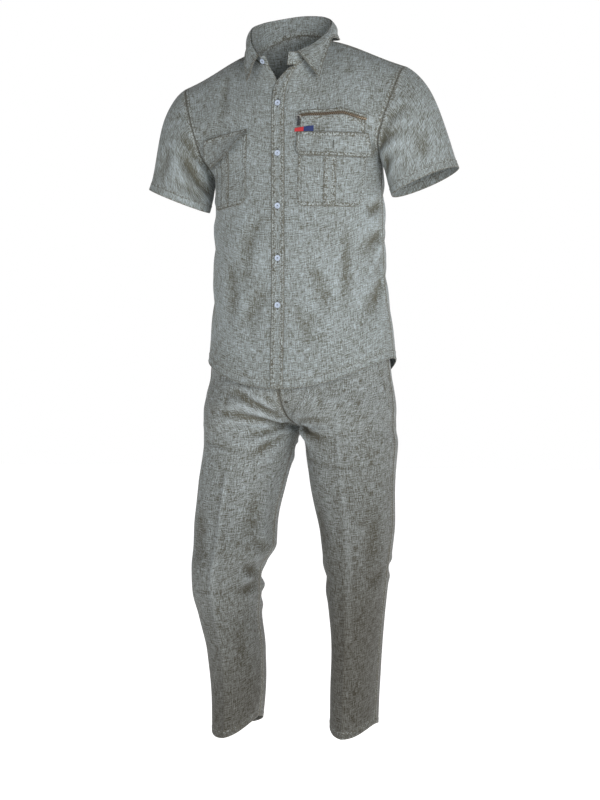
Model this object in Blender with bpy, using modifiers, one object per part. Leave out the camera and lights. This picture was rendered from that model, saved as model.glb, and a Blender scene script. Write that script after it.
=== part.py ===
"""A short-sleeved work shirt and its trousers, worn shape kept, with nobody inside.

Every cloth piece is a wall cut the way a maker would cut it.  A piece is worked out as rows
that run across the garment, each row from the piece's inner edge (centre front, centre back,
inside leg) to its outer edge (side seam, armhole).  The faces found this way are the outer
face of the cloth, and the wall goes inwards from it.

Metres.  +X is the wearer's left, -Y the front, +Z up.  The origin is the middle of the neck
opening, level with the shoulder seams where the wearer holds the suit up.
"""

import math

import bmesh
import bpy
import mathutils
import numpy as np

# Cloth
WALL = 0.0015
SEAM_GAP = 0.0003
LIE_GAP = 0.0005
TRIM_WALL = 0.0012

# Rows and columns of each kind of panel
SHIRT_LOW_ROWS = 11
ARMHOLE_ROWS = 9
NECK_COLUMNS = 6
SHOULDER_COLUMNS = 7
SLEEVE_ROWS = 8
SLEEVE_START = 0.0009
LEG_COLUMNS = 9

# Shirt: v is the row, 0 at the hem, UNDERARM_V at the underarm, 1 at the shoulder seam
UNDERARM_V = 0.66
NECK_T = 0.36
ROW_TURN_FRONT = 0.60
ROW_TURN_SIDE = 0.57
# Below the top edge the corner at the neck point is spread over this share of the row
CORNER_SOFTEN = 0.20
SOFTEN_PARTS = (-1.0, -0.6, -0.2, 0.2, 0.6, 1.0)

LEFT = 1
RIGHT = -1

PARTS_NAME = "work_suit"
CUTTERS_NAME = "cutters"

# Side seam of the shirt.       v     left x   right x    z left   z right
SIDE_SEAM = np.array([
    (0.00, 0.2040, -0.1965, -0.6635, -0.6635),
    (0.12, 0.1985, -0.1905, -0.6050, -0.6050),
    (0.30, 0.1860, -0.1855, -0.5200, -0.5200),
    (0.46, 0.1810, -0.1835, -0.4200, -0.4250),
    (0.58, 0.1790, -0.1815, -0.3300, -0.3450),
    (0.66, 0.1770, -0.1830, -0.2600, -0.2840),
])

# Armhole edges, as v, x, y, z from the underarm to the tip of the shoulder.
ARMHOLE = {
    (LEFT, "front"): np.array([
        (0.66, 0.1770, 0.0000, -0.2600),
        (0.74, 0.1855, -0.0480, -0.2220),
        (0.83, 0.2010, -0.0620, -0.1774),
        (0.92, 0.2180, -0.0420, -0.1150),
        (0.97, 0.2250, -0.0180, -0.0780),
        (1.00, 0.2268, 0.0050, -0.0655),
    ]),
    (LEFT, "back"): np.array([
        (0.66, 0.1770, 0.0000, -0.2600),
        (0.74, 0.1840, 0.0450, -0.2200),
        (0.83, 0.1985, 0.0600, -0.1740),
        (0.92, 0.2170, 0.0470, -0.1110),
        (0.97, 0.2250, 0.0270, -0.0770),
        (1.00, 0.2268, 0.0050, -0.0655),
    ]),
    (RIGHT, "front"): np.array([
        (0.66, -0.1830, 0.0000, -0.2840),
        (0.74, -0.2010, -0.0520, -0.2400),
        (0.83, -0.2140, -0.0610, -0.1960),
        (0.92, -0.2370, -0.0400, -0.1380),
        (0.97, -0.2530, -0.0140, -0.1000),
        (1.00, -0.2590, 0.0080, -0.0880),
    ]),
    (RIGHT, "back"): np.array([
        (0.66, -0.1830, 0.0000, -0.2840),
        (0.74, -0.1950, 0.0470, -0.2420),
        (0.83, -0.2125, 0.0600, -0.1960),
        (0.92, -0.2370, 0.0490, -0.1360),
        (0.97, -0.2530, 0.0300, -0.0990),
        (1.00, -0.2590, 0.0080, -0.0880),
    ]),
}

# Where rows start: v, z at the centre front, z at the centre back.
CENTRE_HEIGHT = np.array([
    (0.00, -0.7270, -0.7350),
    (0.12, -0.6600, -0.6600),
    (0.30, -0.5500, -0.5500),
    (0.46, -0.4300, -0.4300),
    (0.58, -0.3400, -0.3300),
    (0.66, -0.2800, -0.2700),
    (0.74, -0.2250, -0.2100),
    (0.83, -0.1700, -0.1400),
    (0.92, -0.1080, -0.0520),
    (1.00, -0.0625, 0.0220),
])

# Centre front: z, x of the middle of the placket, x of the right front's edge, depth y.
CENTRE_FRONT = np.array([
    (-0.760, -0.0010, 0.0047, -0.1375),
    (-0.640, 0.0000, 0.0057, -0.1350),
    (-0.557, 0.0014, 0.0071, -0.1340),
    (-0.462, 0.0014, 0.0071, -0.1335),
    (-0.356, -0.0008, 0.0049, -0.1280),
    (-0.248, -0.0046, 0.0011, -0.1180),
    (-0.180, -0.0085, -0.0030, -0.1080),
    (-0.144, -0.0105, -0.0062, -0.1015),
    (-0.118, -0.0095, -0.0105, -0.0960),
    (-0.090, -0.0020, -0.0210, -0.0905),
    (-0.062, 0.0150, -0.0388, -0.0865),
])

# Centre back: z, x, depth y.
CENTRE_BACK = np.array([
    (-0.740, 0.0030, 0.1400),
    (-0.650, 0.0030, 0.1350),
    (-0.550, 0.0000, 0.1250),
    (-0.450, 0.0000, 0.1190),
    (-0.330, -0.0030, 0.1240),
    (-0.200, -0.0090, 0.1270),
    (-0.120, -0.0140, 0.1180),
    (-0.050, -0.0180, 0.0960),
    (0.022, -0.0190, 0.0650),
])

NECK_POINT = {
    LEFT: np.array((0.0660, 0.0060, -0.0040)),
    RIGHT: np.array((-0.1010, 0.0060, -0.0190)),
}

PLACKET_WIDTH = 0.028
PLACKET_SEAM = 0.0060
UNDERLAP_DEPTH = 0.0040

# Cuffs of the sleeves: middle, half width across, half width front to back, and the way the
# sleeve points where it ends.
CUFF = {
    LEFT: dict(middle=(0.2735, -0.004, -0.3055), across=(0.0695, 0.0, 0.0285), deep=0.058,
               way=(0.40, -0.02, -0.90)),
    RIGHT: dict(middle=(-0.2630, -0.022, -0.3295), across=(-0.0650, 0.0, 0.0265), deep=0.058,
                way=(-0.34, -0.03, -0.93)),
}

# Folds, as ends in the panel's own 0 to 1 (across, up), half width in metres, depth in metres.
SLEEVE_FOLDS = {
    LEFT: ((0.10, 0.06, 0.27, 0.34, 0.011, 0.0055), (0.06, 0.52, 0.17, 0.36, 0.010, 0.0035)),
    RIGHT: ((0.04, 0.50, 0.30, 0.22, 0.011, 0.0050), (0.06, 0.72, 0.24, 0.62, 0.010, 0.0030)),
}
SHIRT_FOLDS = {
    (LEFT, "front"): ((0.97, 0.48, 0.66, 0.40, 0.014, 0.0030), (0.95, 0.34, 0.62, 0.18, 0.015, 0.0030)),
    (RIGHT, "front"): ((0.97, 0.50, 0.70, 0.40, 0.014, 0.0035), (0.95, 0.34, 0.66, 0.16, 0.015, 0.0030)),
}
BACK_FOLDS = ((0.06, 0.60, 0.30, 0.50, 0.015, 0.0040), (0.94, 0.60, 0.70, 0.50, 0.015, 0.0040),
              (0.10, 0.36, 0.30, 0.22, 0.015, 0.0030), (0.90, 0.36, 0.70, 0.22, 0.015, 0.0030))

# Trousers: hip sections by height: z, half width, x of the middle, front y, back y.
HIP = np.array([
    (-0.533, 0.1610, -0.002, -0.1060, 0.1080),
    (-0.600, 0.1790, -0.002, -0.1170, 0.1200),
    (-0.655, 0.1890, 0.001, -0.1240, 0.1290),
    (-0.700, 0.1930, 0.001, -0.1270, 0.1330),
    (-0.740, 0.2010, -0.002, -0.1250, 0.1330),
    (-0.770, 0.2040, -0.003, -0.1190, 0.1280),
    (-0.790, 0.2030, -0.003, -0.1130, 0.1220),
    (-0.803, 0.2025, -0.003, -0.1050, 0.1150),
])

# Seat seam from the waist to the crotch: z, y on the front, y on the back.
SEAT_SEAM = np.array([
    (-0.533, -0.1060, 0.1080),
    (-0.655, -0.1240, 0.1290),
    (-0.700, -0.1265, 0.1325),
    (-0.740, -0.1170, 0.1270),
    (-0.770, -0.0900, 0.1050),
    (-0.790, -0.0500, 0.0700),
    (-0.803, 0.0080, 0.0080),
])
CROTCH_Z = -0.803
SEAT_X = -0.002

# Legs: z, x and y of the middle, half width, front and back half depth.
LEG = {
    LEFT: np.array([
        (-0.803, 0.1010, 0.004, 0.1025, 0.1090, 0.1110),
        (-0.849, 0.1130, 0.002, 0.0925, 0.1040, 0.1060),
        (-0.924, 0.1160, 0.000, 0.0850, 0.0990, 0.1000),
        (-1.023, 0.1260, 0.000, 0.0735, 0.0930, 0.0930),
        (-1.123, 0.1250, 0.002, 0.0610, 0.0880, 0.0860),
        (-1.248, 0.1225, 0.008, 0.0485, 0.0810, 0.0800),
        (-1.348, 0.1165, 0.014, 0.0460, 0.0800, 0.0780),
        (-1.440, 0.1110, 0.020, 0.0450, 0.0820, 0.0760),
    ]),
    RIGHT: np.array([
        (-0.803, -0.1045, 0.004, 0.1020, 0.1090, 0.1110),
        (-0.849, -0.1115, 0.000, 0.0945, 0.1040, 0.1060),
        (-0.924, -0.1245, -0.010, 0.0895, 0.1000, 0.1000),
        (-0.998, -0.1315, -0.025, 0.0845, 0.0950, 0.0950),
        (-1.048, -0.1290, -0.038, 0.0840, 0.0920, 0.0920),
        (-1.098, -0.1430, -0.045, 0.0715, 0.0900, 0.0880),
        (-1.148, -0.1450, -0.040, 0.0700, 0.0880, 0.0860),
        (-1.198, -0.1430, -0.030, 0.0615, 0.0850, 0.0840),
        (-1.273, -0.1355, -0.015, 0.0570, 0.0820, 0.0810),
        (-1.348, -0.1365, 0.000, 0.0525, 0.0800, 0.0790),
        (-1.440, -0.1450, 0.012, 0.0450, 0.0810, 0.0760),
    ]),
}
LEG_HEIGHTS = (-0.5733, -0.605, -0.640, -0.672, -0.700, -0.722, -0.742, -0.760, -0.776, -0.790,
               -0.803, -0.822, -0.848, -0.885, -0.930, -0.985, -1.035, -1.075, -1.110, -1.150,
               -1.210, -1.280, -1.350, -1.411)
HEM_DROP_FRONT = 0.026
HEM_DROP_BACK = 0.014
HEM_TILT = {LEFT: 0.006, RIGHT: 0.024}
CREASE_HEIGHT = 0.0035
CREASE_WIDTH = 0.10

# Trouser folds: panel, ends as across (0 at the inside, 1 at the side seam) and z, half width, depth.
TROUSER_FOLDS = {
    (RIGHT, "front"): (
        (0.10, -0.785, 0.62, -0.742, 0.010, 0.0070),
        (0.14, -0.765, 0.55, -0.700, 0.010, 0.0050),
        (0.10, -0.815, 0.45, -0.850, 0.012, 0.0045),
        (0.08, -1.075, 0.45, -1.110, 0.013, 0.0060),
        (0.10, -1.125, 0.50, -1.095, 0.012, 0.0045),
    ),
    (LEFT, "front"): (
        (0.08, -0.815, 0.34, -0.860, 0.011, 0.0050),
        (0.10, -0.795, 0.40, -0.835, 0.010, 0.0035),
        (0.12, -1.100, 0.60, -1.125, 0.014, 0.0030),
    ),
    (RIGHT, "back"): (
        (0.12, -0.815, 0.60, -0.775, 0.012, 0.0060),
        (0.10, -0.850, 0.55, -0.880, 0.013, 0.0045),
        (0.15, -1.120, 0.80, -1.090, 0.014, 0.0060),
        (0.20, -1.160, 0.85, -1.150, 0.013, 0.0045),
    ),
    (LEFT, "back"): (
        (0.12, -0.815, 0.60, -0.780, 0.012, 0.0060),
        (0.10, -0.850, 0.50, -0.885, 0.013, 0.0045),
        (0.20, -1.110, 0.80, -1.130, 0.014, 0.0045),
    ),
}

WAISTBAND_TOP = -0.533
WAISTBAND_BOTTOM = -0.573
WAISTBAND_WALL = 0.0022
WAISTBAND_COLUMNS = 9
WAIST_BUTTON = np.array((0.010, -0.0006, 0.0))

# Collar, from the left front round the back to the right front: fold line, outer edge.
COLLAR = np.array([
    # fold x   y        z        edge x   y        z
    (0.0255, -0.0890, -0.0370, 0.0759, -0.0930, -0.0937),
    (0.0500, -0.0680, -0.0220, 0.0785, -0.0620, -0.0470),
    (0.0685, -0.0200, 0.0110, 0.0800, -0.0130, -0.0010),
    (0.0600, 0.0320, 0.0400, 0.0720, 0.0470, 0.0030),
    (0.0250, 0.0630, 0.0580, 0.0310, 0.0780, 0.0080),
    (-0.0170, 0.0700, 0.0620, -0.0170, 0.0850, 0.0100),
    (-0.0600, 0.0610, 0.0570, -0.0670, 0.0770, 0.0050),
    (-0.0940, 0.0290, 0.0450, -0.1080, 0.0430, -0.0030),
    (-0.1010, -0.0180, 0.0270, -0.1110, -0.0180, -0.0160),
    (-0.0870, -0.0580, -0.0080, -0.1030, -0.0560, -0.0480),
    (-0.0598, -0.0860, -0.0420, -0.0848, -0.0920, -0.0955),
])
COLLAR_STEPS = 28
COLLAR_ROWS = 4
COLLAR_ROLL = 0.0045
COLLAR_WALL = 0.0020
STAND_STEPS = 31
STAND_GAP = 0.0012
STAND_BEHIND = 0.0009
STAND_BELOW = 0.0012
NECK_MIDDLE = np.array((-0.017, -0.008, 0.0))
COLLAR_BUTTON_LIFT = 0.0014
STAND_LEFT_END = ((0.0040, -0.0890, -0.0618), (0.0070, -0.0868, -0.0375))
STAND_RIGHT_END = ((-0.0440, -0.0880, -0.0440),)

# Placket on the left front, its stitching is not raised.
PLACKET_BOTTOM = -0.7262
PLACKET_TOP = -0.0662
PLACKET_ROWS = 18
PLACKET_LIFT = 0.0011

# Chest pockets, on each side: x of the two sides of the bag, z of its bottom and top on the side
# nearest the placket, and how far it slopes down away from there. The left one's top follows the zip.
POCKET = {
    LEFT: dict(near=0.0385, far=0.1560, top_far=0.1680, bottom=-0.3580, slope=-0.012),
    RIGHT: dict(near=-0.0765, far=-0.1640, top_far=-0.1680, bottom=-0.3480, top=-0.2050, slope=-0.120,
                top_slope=-0.120),
}
POCKET_CORNER = 0.016
POCKET_ACROSS = (0.0, 0.03, 0.09, 0.21, 0.33, 0.45, 0.57, 0.69, 0.80, 0.90, 0.97, 1.0)
POCKET_UP = (0.0, 0.12, 0.26, 0.38, 0.50, 0.62, 0.74, 0.86, 1.0)
POCKET_LIFT = 0.0010
OVER_LIFT = 0.0008
PLEAT = {LEFT: (0.0900, 0.1130), RIGHT: (-0.1200, -0.1420)}
PLEAT_ROWS = 9

# Flaps: x of the two ends and z of the seam at each.
FLAP = {
    LEFT: dict(near=0.0345, far=0.1720, near_z=-0.2060, far_z=-0.2085),
    RIGHT: dict(near=-0.0760, far=-0.1850, near_z=-0.1945, far_z=-0.2110),
}
# Flap lengths: how far across from the near end, length, how far the lower edge stands off.
FLAP_LENGTH = {
    LEFT: np.array([
        (0.000, 0.0330, 0.0010), (0.012, 0.0400, 0.0011), (0.030, 0.0438, 0.0012), (0.060, 0.0470, 0.0014),
        (0.110, 0.0490, 0.0016), (0.250, 0.0495, 0.0020), (0.500, 0.0495, 0.0020), (0.750, 0.0495, 0.0020),
        (0.890, 0.0490, 0.0016), (0.940, 0.0470, 0.0014), (0.970, 0.0438, 0.0012), (0.988, 0.0400, 0.0011),
        (1.000, 0.0330, 0.0010),
    ]),
    RIGHT: np.array([
        (0.000, 0.0080, 0.0060), (0.080, 0.0170, 0.0090), (0.200, 0.0310, 0.0120), (0.350, 0.0430, 0.0130),
        (0.500, 0.0500, 0.0120), (0.700, 0.0560, 0.0090), (0.850, 0.0560, 0.0060), (0.950, 0.0520, 0.0040),
        (1.000, 0.0470, 0.0030),
    ]),
}
FLAP_ROWS = 5
FLAP_ACROSS = (0.0, 0.012, 0.03, 0.06, 0.11, 0.22, 0.34, 0.46, 0.58, 0.70, 0.82, 0.89, 0.94, 0.97, 0.988, 1.0)

# Zip along the top of the left pocket: x and z of the middle of its opening
ZIP_LINE = np.array([
    (0.0345, -0.1745), (0.0410, -0.1712), (0.0540, -0.1697), (0.0680, -0.1692), (0.0875, -0.1688),
    (0.1050, -0.1678), (0.1220, -0.1670), (0.1400, -0.1718), (0.1590, -0.1785), (0.1700, -0.1815),
])
ZIP_TAPE_WIDTH = 0.0050
ZIP_TAPE_WALL = 0.0008
ZIP_STEPS = 18
ZIP_EDGE_GAP = 0.0005
LIP_WIDTH = 0.0064
LIP_WALL = 0.0020
SLIDER_X = 0.0370
SLIDER_Z = -0.1765
SLIDER_WIDTH = 0.0085
SLIDER_HEIGHT = 0.0070
SLIDER_THICK = 0.0022
SLIDER_GAP = 0.0008
BAR_RADIUS = 0.0005
BAR_STAND = 0.0024
BAR_HALF = 0.0034
POST_WIDTH = 0.0008
POST_HEIGHT = 0.0022
POST_SINK = 0.0012
BAR_SIDES = 10
KNUCKLE_SIDES = 16
KNUCKLE_INNER = 0.0009
KNUCKLE_OUTER = 0.0017
KNUCKLE_HALF = 0.0023
PULL_LENGTH = 0.0180
PULL_WIDTH = 0.0056
PULL_THICK = 0.0010
PULL_NECK = 0.0012
FOOT_LENGTH = 0.0070
FOOT_THICK = 0.0014

# Label between the zip and the flap: x, z of its lower edge and z of its upper edge, at both ends
LABEL_NEAR = (0.0293, -0.2055, -0.1985)
LABEL_FAR = (0.0680, -0.2058, -0.1935)
LABEL_WALL = 0.0006

# Slanted hip pocket edges: across and z of both ends, and width.
HIP_POCKET = dict(low=(0.955, -0.768), high=(0.70, -0.600), width=0.009)
HIP_LIFT = 0.0007

# Buttons
BUTTON_RADIUS = 0.0060
BUTTON_THICK = 0.0022
BUTTON_RIM = 0.0014
BUTTON_DISH = 0.0007
BUTTON_SIDES = 16
# Radius and height of a button from the middle of its face, out and down to the middle of its back
BUTTON_PROFILE = (
    (0.0, BUTTON_THICK - BUTTON_DISH),
    (BUTTON_RADIUS * 0.5, BUTTON_THICK - BUTTON_DISH),
    (BUTTON_RADIUS - BUTTON_RIM, BUTTON_THICK - BUTTON_DISH * 0.4),
    (BUTTON_RADIUS - BUTTON_RIM * 0.5, BUTTON_THICK),
    (BUTTON_RADIUS * 0.96, BUTTON_THICK * 0.85),
    (BUTTON_RADIUS, BUTTON_THICK * 0.45),
    (BUTTON_RADIUS * 0.72, 0.0),
    (0.0, 0.0),
)
SCREW_MERGE = 0.00001
SHIRT_BUTTON_Z = (-0.1440, -0.2480, -0.3560, -0.4620, -0.5570)

# Colours, linear
CLOTH = (0.150, 0.163, 0.155)
CLOTH_TROUSER = (0.135, 0.143, 0.135)
BUTTON_COLOUR = (0.42, 0.47, 0.55)
METAL = (0.45, 0.44, 0.42)
TAPE = (0.060, 0.040, 0.026)
LABEL = (0.02, 0.035, 0.12)


def through(table, at):
    """The columns after the first of a table, at values of its first column.

    The curve between rows is a cubic that never overshoots: its slope at a row is the harmonic
    mean of the slopes on both sides, or flat where they have unlike signs.
    """
    order = np.argsort(table[:, 0])
    knots = table[order, 0]
    values = table[order, 1:]
    steps = np.diff(knots)[:, None]
    slopes = np.diff(values, axis=0) / steps
    before = slopes[:-1]
    after = slopes[1:]
    same = before * after > 0
    total = np.where(same, before + after, 1.0)
    middle = np.where(same, 2 * before * after / total, 0.0)
    tangents = np.concatenate([slopes[:1], middle, slopes[-1:]])
    at = np.asarray(at, float)
    place = np.clip(np.searchsorted(knots, at) - 1, 0, len(knots) - 2)
    step = steps[place]
    part = ((at - knots[place]) / step[..., 0])[..., None]
    square = part * part
    cube = square * part
    return (
        (2 * cube - 3 * square + 1) * values[place]
        + (cube - 2 * square + part) * step * tangents[place]
        + (3 * square - 2 * cube) * values[place + 1]
        + (cube - square) * step * tangents[place + 1]
    )


def bezier(first, second, third, fourth, part):
    """A cubic from the first point to the fourth, drawn towards the two between."""
    part = np.asarray(part)[..., None]
    rest = 1 - part
    return (
        rest**3 * first
        + 3 * rest**2 * part * second
        + 3 * rest * part**2 * third
        + part**3 * fourth
    )


def points(x, y, z):
    """Three arrays as one array of points."""
    return np.stack(np.broadcast_arrays(x, y, z), axis=-1).astype(float)


def smooth_step(part):
    part = np.clip(part, 0, 1)
    return part * part * (3 - 2 * part)


def outer_edge(side, face, v):
    """The side seam below the underarm and the armhole above it."""
    seam = through(SIDE_SEAM, np.minimum(v, UNDERARM_V))
    pick = 0 if side == LEFT else 1
    low = points(seam[..., pick], 0.0, seam[..., 2 + pick])
    high = through(ARMHOLE[side, face], np.maximum(v, UNDERARM_V))
    return np.where((np.asarray(v) > UNDERARM_V)[..., None], high, low)


def inner_edge(side, face, v):
    """The centre front or centre back edge."""
    heights = through(CENTRE_HEIGHT, v)
    if face == "back":
        z = heights[..., 1]
        found = through(CENTRE_BACK, z)
        return points(found[..., 0], found[..., 1], z)
    z = heights[..., 0]
    found = through(CENTRE_FRONT, z)
    if side == LEFT:
        return points(found[..., 0] + PLACKET_SEAM, found[..., 2], z)
    under = UNDERLAP_DEPTH * smooth_step((z + 0.150) / 0.040)
    return points(found[..., 1], found[..., 2] + under, z)


def top_edge(side, face, t):
    """The neckline from its middle to the neck point, then the shoulder seam to its tip."""
    start = inner_edge(side, face, 1.0)
    neck = NECK_POINT[side]
    tip = outer_edge(side, face, 1.0)
    t = np.asarray(t, float)
    across = np.clip(t / NECK_T, 0, 1)
    if face == "front":
        from_middle = start + (0.020 * side, 0.006, 0.003)
        to_neck = neck + (0.0, -0.048, -0.014)
    else:
        from_middle = start + (0.045 * side, 0.0, 0.0)
        to_neck = neck + (0.004 * side, 0.036, 0.004)
    line = bezier(start, from_middle, to_neck, neck, across)
    along = np.clip((t - NECK_T) / (1 - NECK_T), 0, 1)
    seam = bezier(neck, neck + (0.055 * side, 0.0, -0.012), tip + (-0.070 * side, 0.0, 0.024), tip, along)
    return np.where((t > NECK_T)[..., None], seam, line)


def top_lift(side, face, t):
    """How far the top edge stands off the straight line between its two ends."""
    first = inner_edge(side, face, 1.0)
    last = outer_edge(side, face, 1.0)
    return top_edge(side, face, t) - (first + (last - first) * t[..., None])


def oval_shares(part):
    """How far sideways and how far forward a quarter oval is, as shares of its half axes."""
    rest = 1 - part
    sideways = 3 * rest**2 * part * ROW_TURN_FRONT + 3 * rest * part**2 + part**3
    forward = rest**3 + 3 * rest**2 * part + 3 * rest * part**2 * ROW_TURN_SIDE
    return sideways, forward


def oval_end(depth_share):
    """The part of the quarter oval at which it has this depth, found by halving."""
    low = np.full(np.shape(depth_share), 0.2)
    high = np.full(np.shape(depth_share), 1.15)
    for _ in range(30):
        middle = (low + high) / 2
        deeper = oval_shares(middle)[1] > depth_share
        low = np.where(deeper, middle, low)
        high = np.where(deeper, high, middle)
    return (low + high) / 2


def shirt_point(side, face, t, v):
    """A point of the shirt's front or back.

    Low rows are quarter ovals, from facing forwards at the centre to facing sideways at the
    side seam.  Towards the shoulder each row takes on the shape of the top edge, first in
    height and last in depth, so that the chest stays round below the neckline.
    """
    t, v = np.broadcast_arrays(np.asarray(t, float), np.asarray(v, float))
    inner = inner_edge(side, face, v)
    outer = outer_edge(side, face, v)
    cut = oval_end(outer[..., 1] / inner[..., 1])
    side_share, depth_share = oval_shares(t * cut)
    reach = (outer[..., 0] - inner[..., 0]) / oval_shares(cut)[0]
    level = inner[..., 2] + (outer[..., 2] - inner[..., 2]) * t * t * (3 - 2 * t)
    oval = points(inner[..., 0] + reach * side_share, inner[..., 1] * depth_share, level)
    straight = inner + (outer - inner) * t[..., None]
    rise = np.clip((v - UNDERARM_V) / (1 - UNDERARM_V), 0, 1)
    reach_along = np.minimum(CORNER_SOFTEN * np.sqrt(1 - rise), np.minimum(t, 1 - t))
    lift = sum(top_lift(side, face, t + reach_along * part) for part in SOFTEN_PARTS) / len(SOFTEN_PARTS)
    share = np.stack([rise**2.0, rise**3.2, rise**1.7], axis=-1)
    return straight + (1 - share) * (oval - straight) + share * lift


def trouser_point(side, face, t, z):
    """A point of a trouser panel.

    A row of the hips is a quarter oval from the seat seam to the side seam.  A row of the leg
    is a half oval from the inside leg to the side seam.  The rows between blend the two.
    """
    t, z = np.broadcast_arrays(np.asarray(t, float), np.asarray(z, float))
    sign = -1.0 if face == "front" else 1.0
    pick = 0 if face == "front" else 1
    hip = through(HIP, np.maximum(z, CROTCH_Z))
    seat = through(SEAT_SEAM, np.maximum(z, CROTCH_Z))
    leg = through(LEG[side], np.minimum(z, CROTCH_Z))
    on_leg = z < CROTCH_Z
    leg_inner = points(leg[..., 0] - side * leg[..., 2], leg[..., 1], z)
    leg_outer = points(leg[..., 0] + side * leg[..., 2], leg[..., 1], z)
    hip_inner = points(SEAT_X, seat[..., pick], z)
    side_y = 0.008 * smooth_step((-0.60 - z) / 0.20)
    hip_outer = points(hip[..., 1] + side * hip[..., 0], side_y, z)
    close = smooth_step((CROTCH_Z - z) / 0.030)[..., None]
    leg_inner = leg_inner * close + points(SEAT_X, 0.008, z) * (1 - close)
    leg_outer = leg_outer * close + points(-0.003 + side * 0.2025, 0.008, z) * (1 - close)
    inner = np.where(on_leg[..., None], leg_inner, hip_inner)
    outer = np.where(on_leg[..., None], leg_outer, hip_outer)
    reach = np.abs(np.where(on_leg, leg[..., 3 + pick], np.abs(hip[..., 2 + pick])))
    into_leg = smooth_step((-0.725 - z) / (0.845 - 0.725))[..., None]
    across = outer[..., 0] - inner[..., 0]
    quarter_second = inner + points(0.58 * across, 0.0, 0.0)
    quarter_third = outer + points(0.0, 0.56 * sign * reach, 0.0)
    target = sign * reach * 4 / 3
    half_second = points(inner[..., 0], target + 0.25 * (inner[..., 1] - outer[..., 1]), z)
    half_second[..., 1] += outer[..., 1]
    half_third = outer + points(0.0, target, 0.0)
    second = quarter_second * (1 - into_leg) + half_second * into_leg
    third = quarter_third * (1 - into_leg) + half_third * into_leg
    goal = reach + np.where(on_leg, sign * leg[..., 1], 0.0)
    sample = np.linspace(0, 1, 25)
    for _ in range(4):
        shape = [bezier(inner, second, third, outer, np.full(t.shape, part))[..., 1] for part in sample]
        found = np.max(sign * np.array(shape), axis=0)
        grow = goal / np.maximum(found, 1e-6)
        second[..., 1] *= grow
        third[..., 1] *= grow
    row = bezier(inner, second, third, outer, t)
    crease = np.clip(1 - np.abs(t - 0.5) / CREASE_WIDTH, 0, 1) ** 2 * CREASE_HEIGHT
    row[..., 1] += sign * crease * smooth_step((-0.86 - z) / 0.12)
    low = smooth_step((-1.33 - z) / 0.08)
    shift = -HEM_DROP_FRONT if face == "front" else -HEM_DROP_BACK
    row[..., 2] += low * (shift * np.sin(math.pi * t) ** 1.5 - HEM_TILT[side] * t)
    return row


def grid_normals(grid, wrap=False):
    """A unit normal at each point of a grid, from the lines to its neighbours."""
    if wrap:
        first = np.roll(grid, -1, axis=0) - np.roll(grid, 1, axis=0)
    else:
        first = np.gradient(grid, axis=0)
    second = np.gradient(grid, axis=1)
    found = np.cross(first, second)
    length = np.linalg.norm(found, axis=-1, keepdims=True)
    return found / np.maximum(length, 1e-12)


def distance_to_line(grid, line):
    """How far each point is from a line of short straight parts, and how far along it."""
    best = np.full(grid.shape[:-1], 9.0)
    along = np.zeros(grid.shape[:-1])
    parts = len(line) - 1
    for index in range(parts):
        start = line[index]
        run = line[index + 1] - start
        share = np.clip(((grid - start) @ run) / (run @ run), 0, 1)
        away = np.linalg.norm(grid - (start + share[..., None] * run), axis=-1)
        nearer = away < best
        best = np.where(nearer, away, best)
        along = np.where(nearer, (index + share) / parts, along)
    return best, along


def fold_depths(grid, lines):
    """How deep the folds press each point of a grid, in metres."""
    depth = np.zeros(grid.shape[:-1])
    for line, width, deep in lines:
        away, along = distance_to_line(grid, line)
        fade = np.sin(math.pi * np.clip(along, 0.02, 0.98)) ** 0.7
        depth += deep * fade * np.exp(-((away / width) ** 2))
    return depth


def edge_fade(grid, distance=0.022, wrap=False):
    """0 on the edges of a grid and 1 further in, so that seams stay where they are."""
    down = np.linalg.norm(np.diff(grid, axis=1), axis=-1)
    down = np.concatenate([np.zeros((grid.shape[0], 1)), np.cumsum(down, axis=1)], axis=1)
    nearest = np.minimum(down, down[:, -1:] - down)
    if not wrap:
        over = np.linalg.norm(np.diff(grid, axis=0), axis=-1)
        over = np.concatenate([np.zeros((1, grid.shape[1])), np.cumsum(over, axis=0)], axis=0)
        nearest = np.minimum(nearest, np.minimum(over, over[-1:] - over))
    return smooth_step(nearest / distance)


def material(name, colour, rough=0.9, metal=0.0):
    made = bpy.data.materials.new(name)
    made.use_nodes = True
    shader = made.node_tree.nodes["Principled BSDF"]
    shader.inputs["Base Color"].default_value = (*colour, 1.0)
    shader.inputs["Roughness"].default_value = rough
    shader.inputs["Metallic"].default_value = metal
    made.diffuse_color = (*colour, 1.0)
    return made


def named_collection(name):
    """The collection of this name. The one for cutters isn't rendered."""
    found = bpy.data.collections.get(name)
    if found is None:
        found = bpy.data.collections.new(name)
        found.hide_render = name == CUTTERS_NAME
        bpy.context.scene.collection.children.link(found)
    return found


def mesh_object(name, vertices, faces, paint, smooth=True):
    mesh = bpy.data.meshes.new(name)
    mesh.from_pydata([tuple(vertex) for vertex in vertices], [], faces)
    mesh.validate()
    made = bpy.data.objects.new(name, mesh)
    named_collection(PARTS_NAME).objects.link(made)
    shape = bmesh.new()
    shape.from_mesh(mesh)
    bmesh.ops.recalc_face_normals(shape, faces=shape.faces)
    if shape.calc_volume(signed=True) < 0:
        bmesh.ops.reverse_faces(shape, faces=shape.faces)
    shape.to_mesh(mesh)
    shape.free()
    for polygon in mesh.polygons:
        polygon.use_smooth = smooth
    mesh.materials.append(material(name + "_finish", **paint))
    return made


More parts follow.
